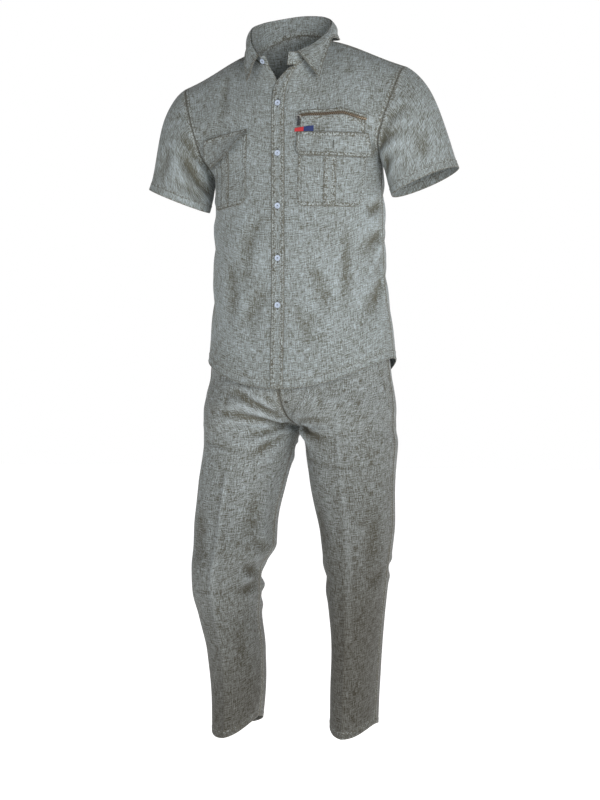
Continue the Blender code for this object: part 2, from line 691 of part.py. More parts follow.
def wall_object(name, outside, inside, paint, wrap=False):
    """A closed wall between two grids of the same size."""
    columns, rows = outside.shape[:2]
    vertices = np.concatenate([outside.reshape(-1, 3), inside.reshape(-1, 3)])
    number = np.arange(columns * rows).reshape(columns, rows)
    back = number + columns * rows
    faces = []
    last = columns if wrap else columns - 1
    for i in range(last):
        j = (i + 1) % columns
        for k in range(rows - 1):
            faces.append((number[i, k], number[j, k], number[j, k + 1], number[i, k + 1]))
            faces.append((back[i, k], back[i, k + 1], back[j, k + 1], back[j, k]))
        faces.append((number[i, 0], back[i, 0], back[j, 0], number[j, 0]))
        faces.append((number[i, -1], number[j, -1], back[j, -1], back[i, -1]))
    if not wrap:
        for k in range(rows - 1):
            faces.append((number[0, k], number[0, k + 1], back[0, k + 1], back[0, k]))
            faces.append((number[-1, k], back[-1, k], back[-1, k + 1], number[-1, k + 1]))
    faces = [tuple(int(corner) for corner in face) for face in faces]
    return mesh_object(name, vertices, faces, paint)


def set_back(grid, edges, gap=SEAM_GAP / 2):
    """The grid with the named edges moved in along the cloth, which leaves the seam gap."""
    grid = grid.copy()
    source = grid.copy()

    def moved(edge, inward):
        way = inward - edge
        return edge + gap * way / np.linalg.norm(way, axis=-1, keepdims=True)

    if "first" in edges:
        grid[0] = moved(source[0], source[1])
    if "last" in edges:
        grid[-1] = moved(source[-1], source[-2])
    if "low" in edges:
        grid[:, 0] = moved(grid[:, 0], grid[:, 1])
    if "high" in edges:
        grid[:, -1] = moved(grid[:, -1], grid[:, -2])
    return grid


def shirt_rows():
    low = np.linspace(0, UNDERARM_V, SHIRT_LOW_ROWS)
    high = np.linspace(UNDERARM_V, 1, ARMHOLE_ROWS)
    return np.concatenate([low, high[1:]])


def shirt_columns():
    near = np.linspace(0, NECK_T, NECK_COLUMNS)
    far = np.linspace(NECK_T, 1, SHOULDER_COLUMNS)
    return np.concatenate([near, far[1:]])


def panel_lines(grid_function, folds, count=9):
    """Each fold as points on the panel, with its half width and depth."""
    lines = []
    share = np.linspace(0, 1, count)
    for start_across, start_up, end_across, end_up, width, deep in folds:
        across = start_across + (end_across - start_across) * share
        up = start_up + (end_up - start_up) * share
        lines.append((grid_function(across, up), width, deep))
    return lines


def outward(grid, normals, centre):
    """The normals turned to point away from a line of middles."""
    facing = ((grid - centre) * normals).sum(axis=-1, keepdims=True)
    return np.where(facing.mean() < 0, -normals, normals)


def shirt_front_grid(side, t, v):
    grid = shirt_point(side, "front", t[:, None], v[None, :])
    normals = outward(grid, grid_normals(grid), np.array((0.0, 0.0, -0.35)))
    lines = panel_lines(lambda a, b: shirt_point(side, "front", a, b), SHIRT_FOLDS[side, "front"])
    grid = grid - normals * (fold_depths(grid, lines) * edge_fade(grid))[..., None]
    return grid


def shirt_back_grid(t, v):
    left = shirt_point(LEFT, "back", t[:, None], v[None, :])
    right = shirt_point(RIGHT, "back", t[:, None], v[None, :])
    grid = np.concatenate([right[:0:-1], left])
    normals = outward(grid, grid_normals(grid), np.array((0.0, 0.0, -0.35)))

    def place(across, up):
        spot = across * 2 - 1
        on_left = shirt_point(LEFT, "back", np.abs(spot), up)
        on_right = shirt_point(RIGHT, "back", np.abs(spot), up)
        return np.where((spot > 0)[..., None], on_left, on_right)

    depth = fold_depths(grid, panel_lines(place, BACK_FOLDS)) * edge_fade(grid)
    return grid - normals * depth[..., None]


def shared_normals(parts, joins):
    """Gives both sides of each seam the same normal, so that the walls stay a gap apart."""
    for (first, first_edge), (second, second_edge) in joins:
        total = parts[first][1][first_edge] + parts[second][1][second_edge]
        total = total / np.linalg.norm(total, axis=-1, keepdims=True)
        parts[first][1][first_edge] = total
        parts[second][1][second_edge] = total


def build_shirt_body():
    t = shirt_columns()
    v = shirt_rows()
    centre = np.array((0.0, 0.0, -0.35))
    parts = {}
    for side, name in ((LEFT, "shirt_front_left"), (RIGHT, "shirt_front_right")):
        grid = shirt_front_grid(side, t, v)
        parts[name] = (grid, outward(grid, grid_normals(grid), centre))
    grid = shirt_back_grid(t, v)
    parts["shirt_back"] = (grid, outward(grid, grid_normals(grid), centre))
    low = slice(0, SHIRT_LOW_ROWS)
    seam = slice(NECK_COLUMNS - 1, None)
    back_left = slice(len(t) - 1 + NECK_COLUMNS - 1, None)
    back_right = slice(len(t) - NECK_COLUMNS, None, -1)
    shared_normals(parts, (
        (("shirt_front_left", (-1, low)), ("shirt_back", (-1, low))),
        (("shirt_front_right", (-1, low)), ("shirt_back", (0, low))),
        (("shirt_front_left", (seam, -1)), ("shirt_back", (back_left, -1))),
        (("shirt_front_right", (seam, -1)), ("shirt_back", (back_right, -1))),
    ))
    edges = ("first", "last", "high")
    for name, (grid, normals) in parts.items():
        outside = set_back(grid, edges)
        inside = set_back(grid - normals * WALL, edges)
        wall_object(name, outside, inside, dict(colour=CLOTH))
    return parts


def armhole_ring(side, parts):
    """The armhole edge all round, from the underarm up the front and down the back."""
    front = parts["shirt_front_left" if side == LEFT else "shirt_front_right"][0][-1, SHIRT_LOW_ROWS - 1:]
    back_grid = parts["shirt_back"][0]
    back = back_grid[-1 if side == LEFT else 0, SHIRT_LOW_ROWS - 1:]
    return np.concatenate([front, back[-2:0:-1]])


def sleeve_grid(side, ring, share):
    """A sleeve from its ring at the armhole to its cuff, as columns round and rows along."""
    half = len(ring) // 2
    steps = np.linalg.norm(np.diff(ring[: half + 1], axis=0), axis=-1)
    front_part = np.concatenate([[0], np.cumsum(steps)]) / steps.sum()
    back_line = np.concatenate([ring[half:], ring[:1]])
    steps = np.linalg.norm(np.diff(back_line, axis=0), axis=-1)
    back_part = 1 - np.concatenate([[0], np.cumsum(steps)]) / steps.sum()
    turn = np.concatenate([math.pi * front_part, -math.pi * back_part[1:-1]])
    cuff = CUFF[side]
    across = np.array(cuff["across"])
    deep = np.array((0.0, cuff["deep"], 0.0))
    end = np.array(cuff["middle"]) - np.cos(turn)[:, None] * across - np.sin(turn)[:, None] * deep
    chord = np.linalg.norm(end - ring, axis=-1, keepdims=True)
    high = ((1 - np.cos(turn)) / 2)[:, None]
    under = np.array((0.42 * side, 0.0, -0.91))
    tip = np.array((0.90 * side, 0.0, -0.44))
    start_way = under * (1 - high) + tip * high
    start_way = start_way + points(0.0, -0.25 * np.sin(turn), 0.0)
    end_way = np.array(cuff["way"])
    part = share[None, :, None]
    start = ring[:, None]
    finish = end[:, None]
    square = part**2
    cube = part**3
    grid = (
        (2 * cube - 3 * square + 1) * start
        + (cube - 2 * square + part) * (start_way * chord)[:, None]
        + (3 * square - 2 * cube) * finish
        + (cube - square) * (end_way * chord)[:, None]
    )
    return grid


def build_sleeve(side, parts):
    name = "sleeve_left" if side == LEFT else "sleeve_right"
    ring = armhole_ring(side, parts)
    share = np.linspace(0, 1, SLEEVE_ROWS)
    grid = sleeve_grid(side, ring, share)
    centre = np.array(CUFF[side]["middle"])[None, None] * share[None, :, None]
    centre = centre + ring.mean(axis=0)[None, None] * (1 - share[None, :, None])
    normals = outward(grid, grid_normals(grid, wrap=True), centre)

    def place(around, along):
        count = len(ring)
        spot = np.asarray(around) * count
        low = np.floor(spot).astype(int) % count
        mix = (spot - np.floor(spot))[..., None]
        rows = np.asarray(along)
        found = []
        for one, other, blend, row in zip(low, (low + 1) % count, mix, rows):
            column = sleeve_grid(side, ring, np.array([row]))[:, 0]
            found.append(column[one] * (1 - blend) + column[other] * blend)
        return np.array(found)

    lines = panel_lines(place, SLEEVE_FOLDS[side])
    depth = fold_depths(grid, lines) * edge_fade(grid, wrap=True)
    grid = grid - normals * depth[..., None]
    normals = outward(grid, grid_normals(grid, wrap=True), centre)
    start = grid[:, 1] - grid[:, 0]
    start = start / np.linalg.norm(start, axis=-1, keepdims=True)
    grid[:, 0] += start * SLEEVE_START
    inside = grid - normals * WALL
    wall_object(name, grid, inside, dict(colour=CLOTH), wrap=True)


def build_trousers():
    t = np.linspace(0, 1, LEG_COLUMNS)
    z = np.array(LEG_HEIGHTS)
    parts = {}
    for side, side_name in ((LEFT, "left"), (RIGHT, "right")):
        for face in ("front", "back"):
            grid = trouser_point(side, face, t[:, None], z[None, :])
            centre = points(np.where(z < CROTCH_Z, through(LEG[side], np.minimum(z, CROTCH_Z))[:, 0],
                                     0.09 * side), 0.0, z)[None]
            normals = outward(grid, grid_normals(grid), centre)
            lines = panel_lines(lambda a, b, s=side, f=face: trouser_point(s, f, a, b),
                                TROUSER_FOLDS[side, face])
            depth = fold_depths(grid, lines) * edge_fade(grid)
            grid = grid - normals * depth[..., None]
            parts[f"trouser_{face}_{side_name}"] = (grid, outward(grid, grid_normals(grid), centre))
    crotch = LEG_HEIGHTS.index(CROTCH_Z)
    seat = slice(0, crotch)
    shared_normals(parts, (
        (("trouser_front_left", (-1, slice(None))), ("trouser_back_left", (-1, slice(None)))),
        (("trouser_front_right", (-1, slice(None))), ("trouser_back_right", (-1, slice(None)))),
        (("trouser_front_left", (0, slice(crotch, None))), ("trouser_back_left", (0, slice(crotch, None)))),
        (("trouser_front_right", (0, slice(crotch, None))), ("trouser_back_right", (0, slice(crotch, None)))),
    ))
    for name in parts:
        side = LEFT if name.endswith("left") else RIGHT
        grid, normals = parts[name]
        normals[0, seat] = flat_across(normals[0, seat], side, crotch)
        outside = set_back(grid, ("first", "last"))
        inside = set_back(grid - normals * WALL, ("first", "last"))
        wall_object(name, outside, inside, dict(colour=CLOTH_TROUSER))


def flat_across(normals, side, crotch):
    """Normals on the seat seam with no part towards the other leg, easing off at the crotch."""
    kept = normals.copy()
    share = smooth_step(np.arange(crotch) / (crotch - 0.5) * 1.6 - 0.6)
    kept[:, 0] = normals[:, 0] * share
    return kept / np.linalg.norm(kept, axis=-1, keepdims=True)


def locate(side, x, z, face="front"):
    """The row and column of the shirt at which x and z are these, by Newton's method."""
    t = np.clip(np.abs(x) / 0.19, 0.02, 0.9)
    v = np.interp(z, CENTRE_HEIGHT[:, 1], CENTRE_HEIGHT[:, 0])
    step = 1e-4
    for _ in range(12):
        here = shirt_point(side, face, t, v)
        by_t = (shirt_point(side, face, t + step, v) - here) / step
        by_v = (shirt_point(side, face, t, v + step) - here) / step
        off_x = x - here[..., 0]
        off_z = z - here[..., 2]
        size = by_t[..., 0] * by_v[..., 2] - by_v[..., 0] * by_t[..., 2]
        size = np.where(np.abs(size) < 1e-4, 1e-4, size)
        t = t + np.clip((off_x * by_v[..., 2] - by_v[..., 0] * off_z) / size, -0.15, 0.15)
        v = v + np.clip((by_t[..., 0] * off_z - off_x * by_t[..., 2]) / size, -0.10, 0.10)
        t = np.clip(t, -0.16, 1.0)
        v = np.clip(v, -0.02, 0.998)
    return t, v


def on_front(side, x, z, lift):
    """Points over the front of the shirt at this x and z, moved out from the cloth by lift."""
    x, z = np.broadcast_arrays(np.asarray(x, float), np.asarray(z, float))
    t, v = locate(side, x, z)
    here = shirt_point(side, "front", t, v)
    step = 1e-3
    by_t = shirt_point(side, "front", t + step, v) - shirt_point(side, "front", t - step, v)
    by_v = shirt_point(side, "front", t, v + step) - shirt_point(side, "front", t, v - step)
    normal = np.cross(by_t, by_v)
    normal = normal / np.linalg.norm(normal, axis=-1, keepdims=True)
    normal = np.where(normal[..., 1:2] > 0, -normal, normal)
    return here + normal * np.asarray(lift)[..., None]


def lying(name, side, x, z, lift, thick, paint):
    """A piece that lies on the front of the shirt, its inner face lift away from the cloth."""
    inside = on_front(side, x, z, lift)
    outside = on_front(side, x, z, lift + thick)
    return wall_object(name, outside, inside, paint)


def build_placket():
    z = np.linspace(PLACKET_BOTTOM, PLACKET_TOP, PLACKET_ROWS)
    middle = through(CENTRE_FRONT, z)[:, 0]
    share = np.linspace(-0.5, 0.5, 4)[:, None]
    x = middle[None] + share * PLACKET_WIDTH
    lying("placket", LEFT, x, np.broadcast_to(z, x.shape), PLACKET_LIFT, TRIM_WALL, dict(colour=CLOTH))


def corner_rise(away, radius):
    """How much a rounded corner lifts the lower edge at this distance from the side."""
    inside = np.clip(radius - away, 0, radius)
    return radius - np.sqrt(radius**2 - inside**2)


def build_pocket(side, side_name):
    cut = POCKET[side]
    across = np.array(POCKET_ACROSS)[:, None]
    up = np.array(POCKET_UP)[None]
    width = abs(cut["far"] - cut["near"])
    rise = corner_rise(np.minimum(across, 1 - across) * width, POCKET_CORNER)
    low = cut["bottom"] + rise + cut["slope"] * across * width
    if side == LEFT:
        high = zip_height(cut["near"] + (cut["top_far"] - cut["near"]) * across)
        high = high - ZIP_TAPE_WIDTH / 2 - ZIP_EDGE_GAP
    else:
        high = cut["top"] + cut["top_slope"] * across * width
    z = low + (high - low) * up
    far = cut["far"] + (cut["top_far"] - cut["far"]) * up
    x = cut["near"] + (far - cut["near"]) * across
    lying(f"pocket_{side_name}", side, x, z, POCKET_LIFT, WALL, dict(colour=CLOTH))
    lift = POCKET_LIFT + WALL + OVER_LIFT
    share = np.linspace(0, 1, 4)[:, None]
    rows = np.linspace(0, 1, PLEAT_ROWS)[None]
    start, end = PLEAT[side]
    pleat_x = start + (end - start) * share + 0 * rows
    offset = cut["slope"] * np.abs(pleat_x - cut["near"])
    low = cut["bottom"] + 0.004 + offset
    high = FLAP[side]["near_z"] - 0.006 + offset
    lying(f"pocket_pleat_{side_name}", side, pleat_x, low + (high - low) * rows, lift, TRIM_WALL,
          dict(colour=CLOTH))


def build_flap(side, side_name):
    cut = FLAP[side]
    table = FLAP_LENGTH[side]
    across = np.array(FLAP_ACROSS)[:, None]
    found = through(table, across[:, 0])
    down = np.linspace(0, 1, FLAP_ROWS)[None]
    x = cut["near"] + (cut["far"] - cut["near"]) * across + 0 * down
    seam = cut["near_z"] + (cut["far_z"] - cut["near_z"]) * across
    z = seam - found[:, :1] * down
    lift = POCKET_LIFT + WALL + TRIM_WALL + 2 * OVER_LIFT + found[:, 1:2] * down**1.5
    lying(f"pocket_flap_{side_name}", side, x, z, lift, WALL, dict(colour=CLOTH))


def zip_height(x):
    """The height of the middle of the zip's opening at this x."""
    found = through(ZIP_LINE, np.ravel(x))[:, 0]
    return found.reshape(np.shape(x))


def build_zip():
    x = np.linspace(ZIP_LINE[0, 0], ZIP_LINE[-1, 0], ZIP_STEPS)[:, None]
    middle = zip_height(x)
    rows = np.array((-0.5, 0.0, 0.5))[None]
    lying("zip_tape", LEFT, x + 0 * rows, middle + ZIP_TAPE_WIDTH * rows, LIE_GAP, ZIP_TAPE_WALL,
          dict(colour=TAPE))
    rows = np.array((0.0, 1.0))[None]
    low = middle + ZIP_TAPE_WIDTH / 2 + ZIP_EDGE_GAP
    lying("zip_lip", LEFT, x + 0 * rows, low + LIP_WIDTH * rows, LIE_GAP, LIP_WALL, dict(colour=CLOTH))


def box_object(name, size, middle, paint):
    mesh = bpy.data.meshes.new(name)
    shape = bmesh.new()
    bmesh.ops.create_cube(shape, size=1.0)
    for vertex in shape.verts:
        vertex.co = (
            vertex.co.x * size[0] + middle[0],
            vertex.co.y * size[1] + middle[1],
            vertex.co.z * size[2] + middle[2],
        )
    shape.to_mesh(mesh)
    shape.free()
    made = bpy.data.objects.new(name, mesh)
    named_collection(PARTS_NAME).objects.link(made)
    mesh.materials.append(material(name + "_finish", **paint))
    return made


def rod_object(name, radius, half, sides, paint):
    """A round rod along X."""
    mesh = bpy.data.meshes.new(name)
    shape = bmesh.new()
    bmesh.ops.create_cone(shape, cap_ends=True, segments=sides, radius1=radius, radius2=radius,
                          depth=2 * half)
    for vertex in shape.verts:
        vertex.co = (vertex.co.z, vertex.co.x, vertex.co.y)
    if shape.calc_volume(signed=True) < 0:
        bmesh.ops.reverse_faces(shape, faces=shape.faces)
    shape.to_mesh(mesh)
    shape.free()
    made = bpy.data.objects.new(name, mesh)
    named_collection(PARTS_NAME).objects.link(made)
    mesh.materials.append(material(name + "_finish", **paint))
    return made


def join_with(base, other, operation):
    """A Boolean of base with a helper, which then draws as wire and isn't rendered."""
    named_collection(PARTS_NAME).objects.unlink(other)
    named_collection(CUTTERS_NAME).objects.link(other)
    other.hide_render = True
    other.display_type = "WIRE"
    cut = base.modifiers.new(other.name, "BOOLEAN")
    cut.operation = operation
    cut.object = other
    cut.solver = "EXACT"


def build_slider():
    """The slider with its bridge, and the pull that hangs from the bridge's bar.

    Both are made facing -Y with the bar's middle at the origin, then turned to the chest.
    """
    metal = dict(colour=METAL, rough=0.35, metal=1.0)
    half = SLIDER_WIDTH / 2
    near, far = on_front(LEFT, np.array((SLIDER_X - half, SLIDER_X + half)), SLIDER_Z, 0.0)
    turn = math.atan2(far[1] - near[1], far[0] - near[0])
    off = POCKET_LIFT + WALL + SLIDER_GAP + SLIDER_THICK + BAR_STAND
    seat = on_front(LEFT, SLIDER_X, SLIDER_Z, off)
    body = box_object("zip_slider", (SLIDER_WIDTH, SLIDER_THICK, SLIDER_HEIGHT),
                      (0.0, BAR_STAND + SLIDER_THICK / 2, 0.0), metal)
    join_with(body, rod_object("bar", BAR_RADIUS, BAR_HALF, BAR_SIDES, metal), "UNION")
    for sign in (-1, 1):
        post = box_object(f"post_{sign + 1}", (POST_WIDTH, BAR_STAND + POST_SINK, POST_HEIGHT),
                          (sign * (BAR_HALF - POST_WIDTH / 4), BAR_STAND / 2, 0.0), metal)
        join_with(body, post, "UNION")
    black = dict(colour=(0.02, 0.02, 0.022), rough=0.4, metal=0.6)
    pull = rod_object("zip_pull", KNUCKLE_OUTER, KNUCKLE_HALF, KNUCKLE_SIDES, black)
    plate = box_object("pull_plate", (PULL_WIDTH - PULL_NECK, PULL_THICK, PULL_LENGTH - PULL_NECK),
                       (0.0, 0.0, -(PULL_LENGTH + PULL_NECK) / 2), black)
    join_with(pull, plate, "UNION")
    foot = box_object("pull_foot", (PULL_WIDTH, FOOT_THICK, FOOT_LENGTH),
                      (0.0, 0.0, FOOT_LENGTH / 2 - PULL_LENGTH), black)
    join_with(pull, foot, "UNION")
    eye = rod_object("pull_eye", KNUCKLE_INNER, 2 * KNUCKLE_HALF, KNUCKLE_SIDES, black)
    join_with(pull, eye, "DIFFERENCE")
    for helper in [body, pull] + list(named_collection(CUTTERS_NAME).objects):
        helper.location = tuple(float(value) for value in seat)
        helper.rotation_euler = (0.0, 0.0, turn)


def turned_object(name, profile, sides, paint):
    """A round piece about Z, from a profile of radius and height that runs down its outer side."""
    mesh = bpy.data.meshes.new(name)
    line = [(radius, 0.0, height) for radius, height in profile]
    mesh.from_pydata(line, [(number, number + 1) for number in range(len(line) - 1)], [])
    made = bpy.data.objects.new(name, mesh)
    named_collection(PARTS_NAME).objects.link(made)
    mesh.materials.append(material(name + "_finish", **paint))
    turn = made.modifiers.new("turn", "SCREW")
    turn.axis = "Z"
    turn.angle = 2 * math.pi
    turn.steps = sides
    turn.render_steps = sides
    turn.use_merge_vertices = True
    turn.merge_threshold = SCREW_MERGE
    turn.use_smooth_shade = True
    return made


def build_button(name, place, axis):
    button = turned_object(name, BUTTON_PROFILE, BUTTON_SIDES, dict(colour=BUTTON_COLOUR, rough=0.3))
    button.location = tuple(float(value) for value in place)
    way = mathutils.Vector([float(value) for value in axis])
    button.rotation_euler = way.to_track_quat("Z", "Y").to_euler()


def build_buttons():
    for number, z in enumerate(SHIRT_BUTTON_Z, start=1):
        x = through(CENTRE_FRONT, np.array(z))[0]
        base = on_front(LEFT, np.array(x), np.array(z), np.array(PLACKET_LIFT + TRIM_WALL + LIE_GAP))
        surface = on_front(LEFT, np.array(x), np.array(z), np.array(0.0))
        build_button(f"button_{number}", base, base - surface)


def spline(rows, at):
    """Points on a curve through rows, by how far along it each row is."""
    steps = np.linalg.norm(np.diff(rows[:, :3], axis=0), axis=-1)
    along = np.concatenate([[0], np.cumsum(steps)]) / steps.sum()
    return through(np.column_stack([along, rows]), at)


def straight_line(rows, at):
    """Points on the straight parts between rows, by how far along them."""
    steps = np.linalg.norm(np.diff(rows, axis=0), axis=-1)
    along = np.concatenate([[0], np.cumsum(steps)]) / steps.sum()
    return np.stack([np.interp(at, along, rows[:, axis]) for axis in range(3)], axis=-1)


def collar_away(line):
    """Level directions that point away from the neck at each point of a line round it."""
    away = line - NECK_MIDDLE
    away[..., 2] = 0
    return away / np.linalg.norm(away, axis=-1, keepdims=True)


def build_collar():
    at = np.linspace(0, 1, COLLAR_STEPS)
    rows = spline(COLLAR, at)
    fold = rows[:, :3]
    edge = rows[:, 3:]
    away = collar_away(fold)
    share = np.linspace(0, 1, COLLAR_ROWS + 1)[None, :, None]
    grid = fold[:, None] * (1 - share) + edge[:, None] * share
    roll = COLLAR_ROLL * np.sin(math.pi * np.clip(share * 1.5, 0, 1))
    grid = grid + away[:, None] * roll
    normals = outward(grid, grid_normals(grid), NECK_MIDDLE)
    wall_object("collar_fall", grid, grid - normals * COLLAR_WALL, dict(colour=CLOTH))

    top_rows = np.concatenate([
        np.array(STAND_LEFT_END[1])[None],
        fold - away * (COLLAR_WALL + STAND_BEHIND) - points(0.0, 0.0, STAND_BELOW),
        np.array(STAND_RIGHT_END[0])[None],
    ])
    t_line = np.linspace(0, NECK_T, NECK_COLUMNS)
    left_front = top_edge(LEFT, "front", t_line)
    left_back = top_edge(LEFT, "back", t_line[::-1])
    right_back = top_edge(RIGHT, "back", t_line)
    right_front = top_edge(RIGHT, "front", t_line[::-1])
    base_rows = np.concatenate([
        np.array(STAND_LEFT_END[0])[None], left_front, left_back[1:], right_back[1:], right_front[1:],
    ])
    at = np.linspace(0, 1, STAND_STEPS)
    top = spline(top_rows, at)
    base = straight_line(base_rows, at)
    rise = top - base
    rise = rise / np.linalg.norm(rise, axis=-1, keepdims=True)
    base = base + rise * STAND_GAP
    share = np.linspace(0, 1, 3)[None, :, None]
    grid = base[:, None] * (1 - share) + top[:, None] * share
    normals = outward(grid, grid_normals(grid), NECK_MIDDLE)
    wall_object("collar_stand", grid, grid - normals * WALL, dict(colour=CLOTH))
    place = grid[-2, 1] * 0.55 + grid[-1, 1] * 0.45
    axis = normals[-2, 1]
    build_button("button_collar", place + axis * COLLAR_BUTTON_LIFT, axis)


def build_label():
    share = np.linspace(0, 1, 4)[:, None]
    x, low, high = (near + (far - near) * share for near, far in zip(LABEL_NEAR, LABEL_FAR))
    z = low + (high - low) * np.linspace(0, 1, 3)[None]
    lift = POCKET_LIFT + WALL + LIE_GAP
    lying("label", LEFT, x + 0 * z, z, lift, LABEL_WALL, dict(colour=LABEL))


def build_waistband():
    z = np.array((WAISTBAND_BOTTOM, (WAISTBAND_BOTTOM + WAISTBAND_TOP) / 2, WAISTBAND_TOP))[None]
    t = np.linspace(0, 1, WAISTBAND_COLUMNS)[:, None]
    columns = [
        trouser_point(LEFT, "front", t, z),
        trouser_point(LEFT, "back", t[::-1], z)[1:],
        trouser_point(RIGHT, "back", t, z)[1:],
        trouser_point(RIGHT, "front", t[::-1], z)[1:],
    ]
    grid = np.concatenate(columns)
    normals = outward(grid, grid_normals(grid), np.array((0.0, 0.0, -0.55)))
    grid = set_back(grid, ("first", "last"), gap=0.0004)
    wall_object("waistband", grid, grid - normals * WAISTBAND_WALL, dict(colour=CLOTH_TROUSER))
    place = grid[0, 1] + WAIST_BUTTON
    build_button("button_waist", place, (0.0, -1.0, 0.0))


def build_hip_pocket(side, side_name):
    share = np.linspace(0, 1, 8)
    low_t, low_z = HIP_POCKET["low"]
    high_t, high_z = HIP_POCKET["high"]
    t = low_t + (high_t - low_t) * share
    z = low_z + (high_z - low_z) * share
    span = HIP_POCKET["width"] / 0.30
    t_grid = np.stack([t, t - span / 2, t - span], axis=1)
    z_grid = np.repeat(z[:, None], 3, axis=1)
    here = trouser_point(side, "front", t_grid, z_grid)
    step = 1e-3
    by_t = trouser_point(side, "front", t_grid + step, z_grid) - here
    by_z = trouser_point(side, "front", t_grid, z_grid + step) - here
    normal = np.cross(by_t, by_z)
    normal = normal / np.linalg.norm(normal, axis=-1, keepdims=True)
    normal = np.where(normal[..., 1:2] > 0, -normal, normal)
    inside = here + normal * HIP_LIFT
    outside = here + normal * (HIP_LIFT + TRIM_WALL)
    wall_object(f"hip_pocket_{side_name}", outside, inside, dict(colour=CLOTH_TROUSER))


def main():
    for old in list(bpy.data.objects):
        bpy.data.objects.remove(old, do_unlink=True)
    parts = build_shirt_body()
    for side in (LEFT, RIGHT):
        build_sleeve(side, parts)
    build_trousers()
    build_placket()
    build_collar()
    for side, side_name in ((LEFT, "left"), (RIGHT, "right")):
        build_pocket(side, side_name)
        build_flap(side, side_name)
        build_hip_pocket(side, side_name)
    build_zip()
    build_slider()
    build_label()
    build_buttons()
    build_waistband()


main()
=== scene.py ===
"""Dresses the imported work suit: worn grey-green cotton, stitching, zip, buttons and label.

Metres.  +X is the wearer's left, -Y the front, +Z up.  The origin is the middle of the neck
opening.  Each cloth piece is a surface of two parameters, across and up, with the suit's creases
pressed into it, closed into a thin shell.  What lies on a panel is worked out from that panel's
own points, moved out along its normals.
"""

import logging
import math
from abc import ABC, abstractmethod
from dataclasses import dataclass, field
from enum import Enum

import bpy
import numpy as np
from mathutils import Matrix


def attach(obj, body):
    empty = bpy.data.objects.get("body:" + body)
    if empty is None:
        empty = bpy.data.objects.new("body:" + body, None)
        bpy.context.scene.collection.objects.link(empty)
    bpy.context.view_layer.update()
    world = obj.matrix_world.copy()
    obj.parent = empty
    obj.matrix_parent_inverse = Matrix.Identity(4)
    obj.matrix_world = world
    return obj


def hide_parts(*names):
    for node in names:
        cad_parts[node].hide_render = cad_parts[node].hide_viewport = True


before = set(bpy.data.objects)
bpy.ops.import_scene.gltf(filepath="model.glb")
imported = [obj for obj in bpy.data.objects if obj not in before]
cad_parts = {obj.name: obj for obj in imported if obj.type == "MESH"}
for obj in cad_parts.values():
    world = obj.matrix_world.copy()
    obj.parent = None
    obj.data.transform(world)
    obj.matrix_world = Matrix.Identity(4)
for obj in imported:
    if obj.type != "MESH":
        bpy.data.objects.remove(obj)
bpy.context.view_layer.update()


LOG = logging.getLogger("work suit")

Array = np.ndarray


class Side(Enum):
    """A side of the wearer, with the sign of its x."""

    LEFT = 1
    RIGHT = -1


class Face(Enum):
    """Front or back of the garment, with the sign of its y."""

    FRONT = -1
    BACK = 1


# Cloth and thread
CLOTH_THICK = 0.001
STITCH_PITCH = 0.0034
STITCH_LENGTH = 0.0026
STITCH_RADIUS = 0.0004
BUTTONHOLE = 0.0165
BUTTONHOLE_PITCH = 0.00075
BUTTONHOLE_THREAD = 0.00036
CREASE_GAIN = 1.5
CREASE_MOST = 0.0064
RIPPLE_WAVE = 0.09
SEAM_HOLD = 0.02

# Shirt: v is the row, 0 at the hem, UNDERARM_V at the underarm, 1 at the shoulder seam
UNDERARM_V = 0.66
NECK_T = 0.36
ROW_TURN_FRONT = 0.6
ROW_TURN_SIDE = 0.57
CORNER_SOFTEN = 0.2
SOFTEN_PARTS = (-1.0, -0.6, -0.2, 0.2, 0.6, 1.0)

# Side seam of the shirt.       v     left x   right x    z left   z right
SIDE_SEAM = np.array([
    (0.0, 0.204, -0.1965, -0.6635, -0.6635),
    (0.12, 0.1985, -0.1905, -0.605, -0.605),
    (0.3, 0.186, -0.1855, -0.52, -0.52),
    (0.46, 0.181, -0.1835, -0.42, -0.425),
    (0.58, 0.179, -0.1815, -0.33, -0.345),
    (0.66, 0.177, -0.183, -0.26, -0.284),
])

# Armhole edges, as v, x, y, z from the underarm to the tip of the shoulder
ARMHOLE = {
    (Side.LEFT, Face.FRONT): np.array([
        (0.66, 0.177, 0.0, -0.26),
        (0.74, 0.1855, -0.048, -0.222),
        (0.83, 0.201, -0.062, -0.1774),
        (0.92, 0.218, -0.042, -0.115),
        (0.97, 0.225, -0.018, -0.078),
        (1.0, 0.2268, 0.005, -0.0655),
    ]),
    (Side.LEFT, Face.BACK): np.array([
        (0.66, 0.177, 0.0, -0.26),
        (0.74, 0.184, 0.045, -0.22),
        (0.83, 0.1985, 0.06, -0.174),
        (0.92, 0.217, 0.047, -0.111),
        (0.97, 0.225, 0.027, -0.077),
        (1.0, 0.2268, 0.005, -0.0655),
    ]),
    (Side.RIGHT, Face.FRONT): np.array([
        (0.66, -0.183, 0.0, -0.284),
        (0.74, -0.201, -0.052, -0.24),
        (0.83, -0.214, -0.061, -0.196),
        (0.92, -0.237, -0.04, -0.138),
        (0.97, -0.253, -0.014, -0.1),
        (1.0, -0.259, 0.008, -0.088),
    ]),
    (Side.RIGHT, Face.BACK): np.array([
        (0.66, -0.183, 0.0, -0.284),
        (0.74, -0.195, 0.047, -0.242),
        (0.83, -0.2125, 0.06, -0.196),
        (0.92, -0.237, 0.049, -0.136),
        (0.97, -0.253, 0.03, -0.099),
        (1.0, -0.259, 0.008, -0.088),
    ]),
}

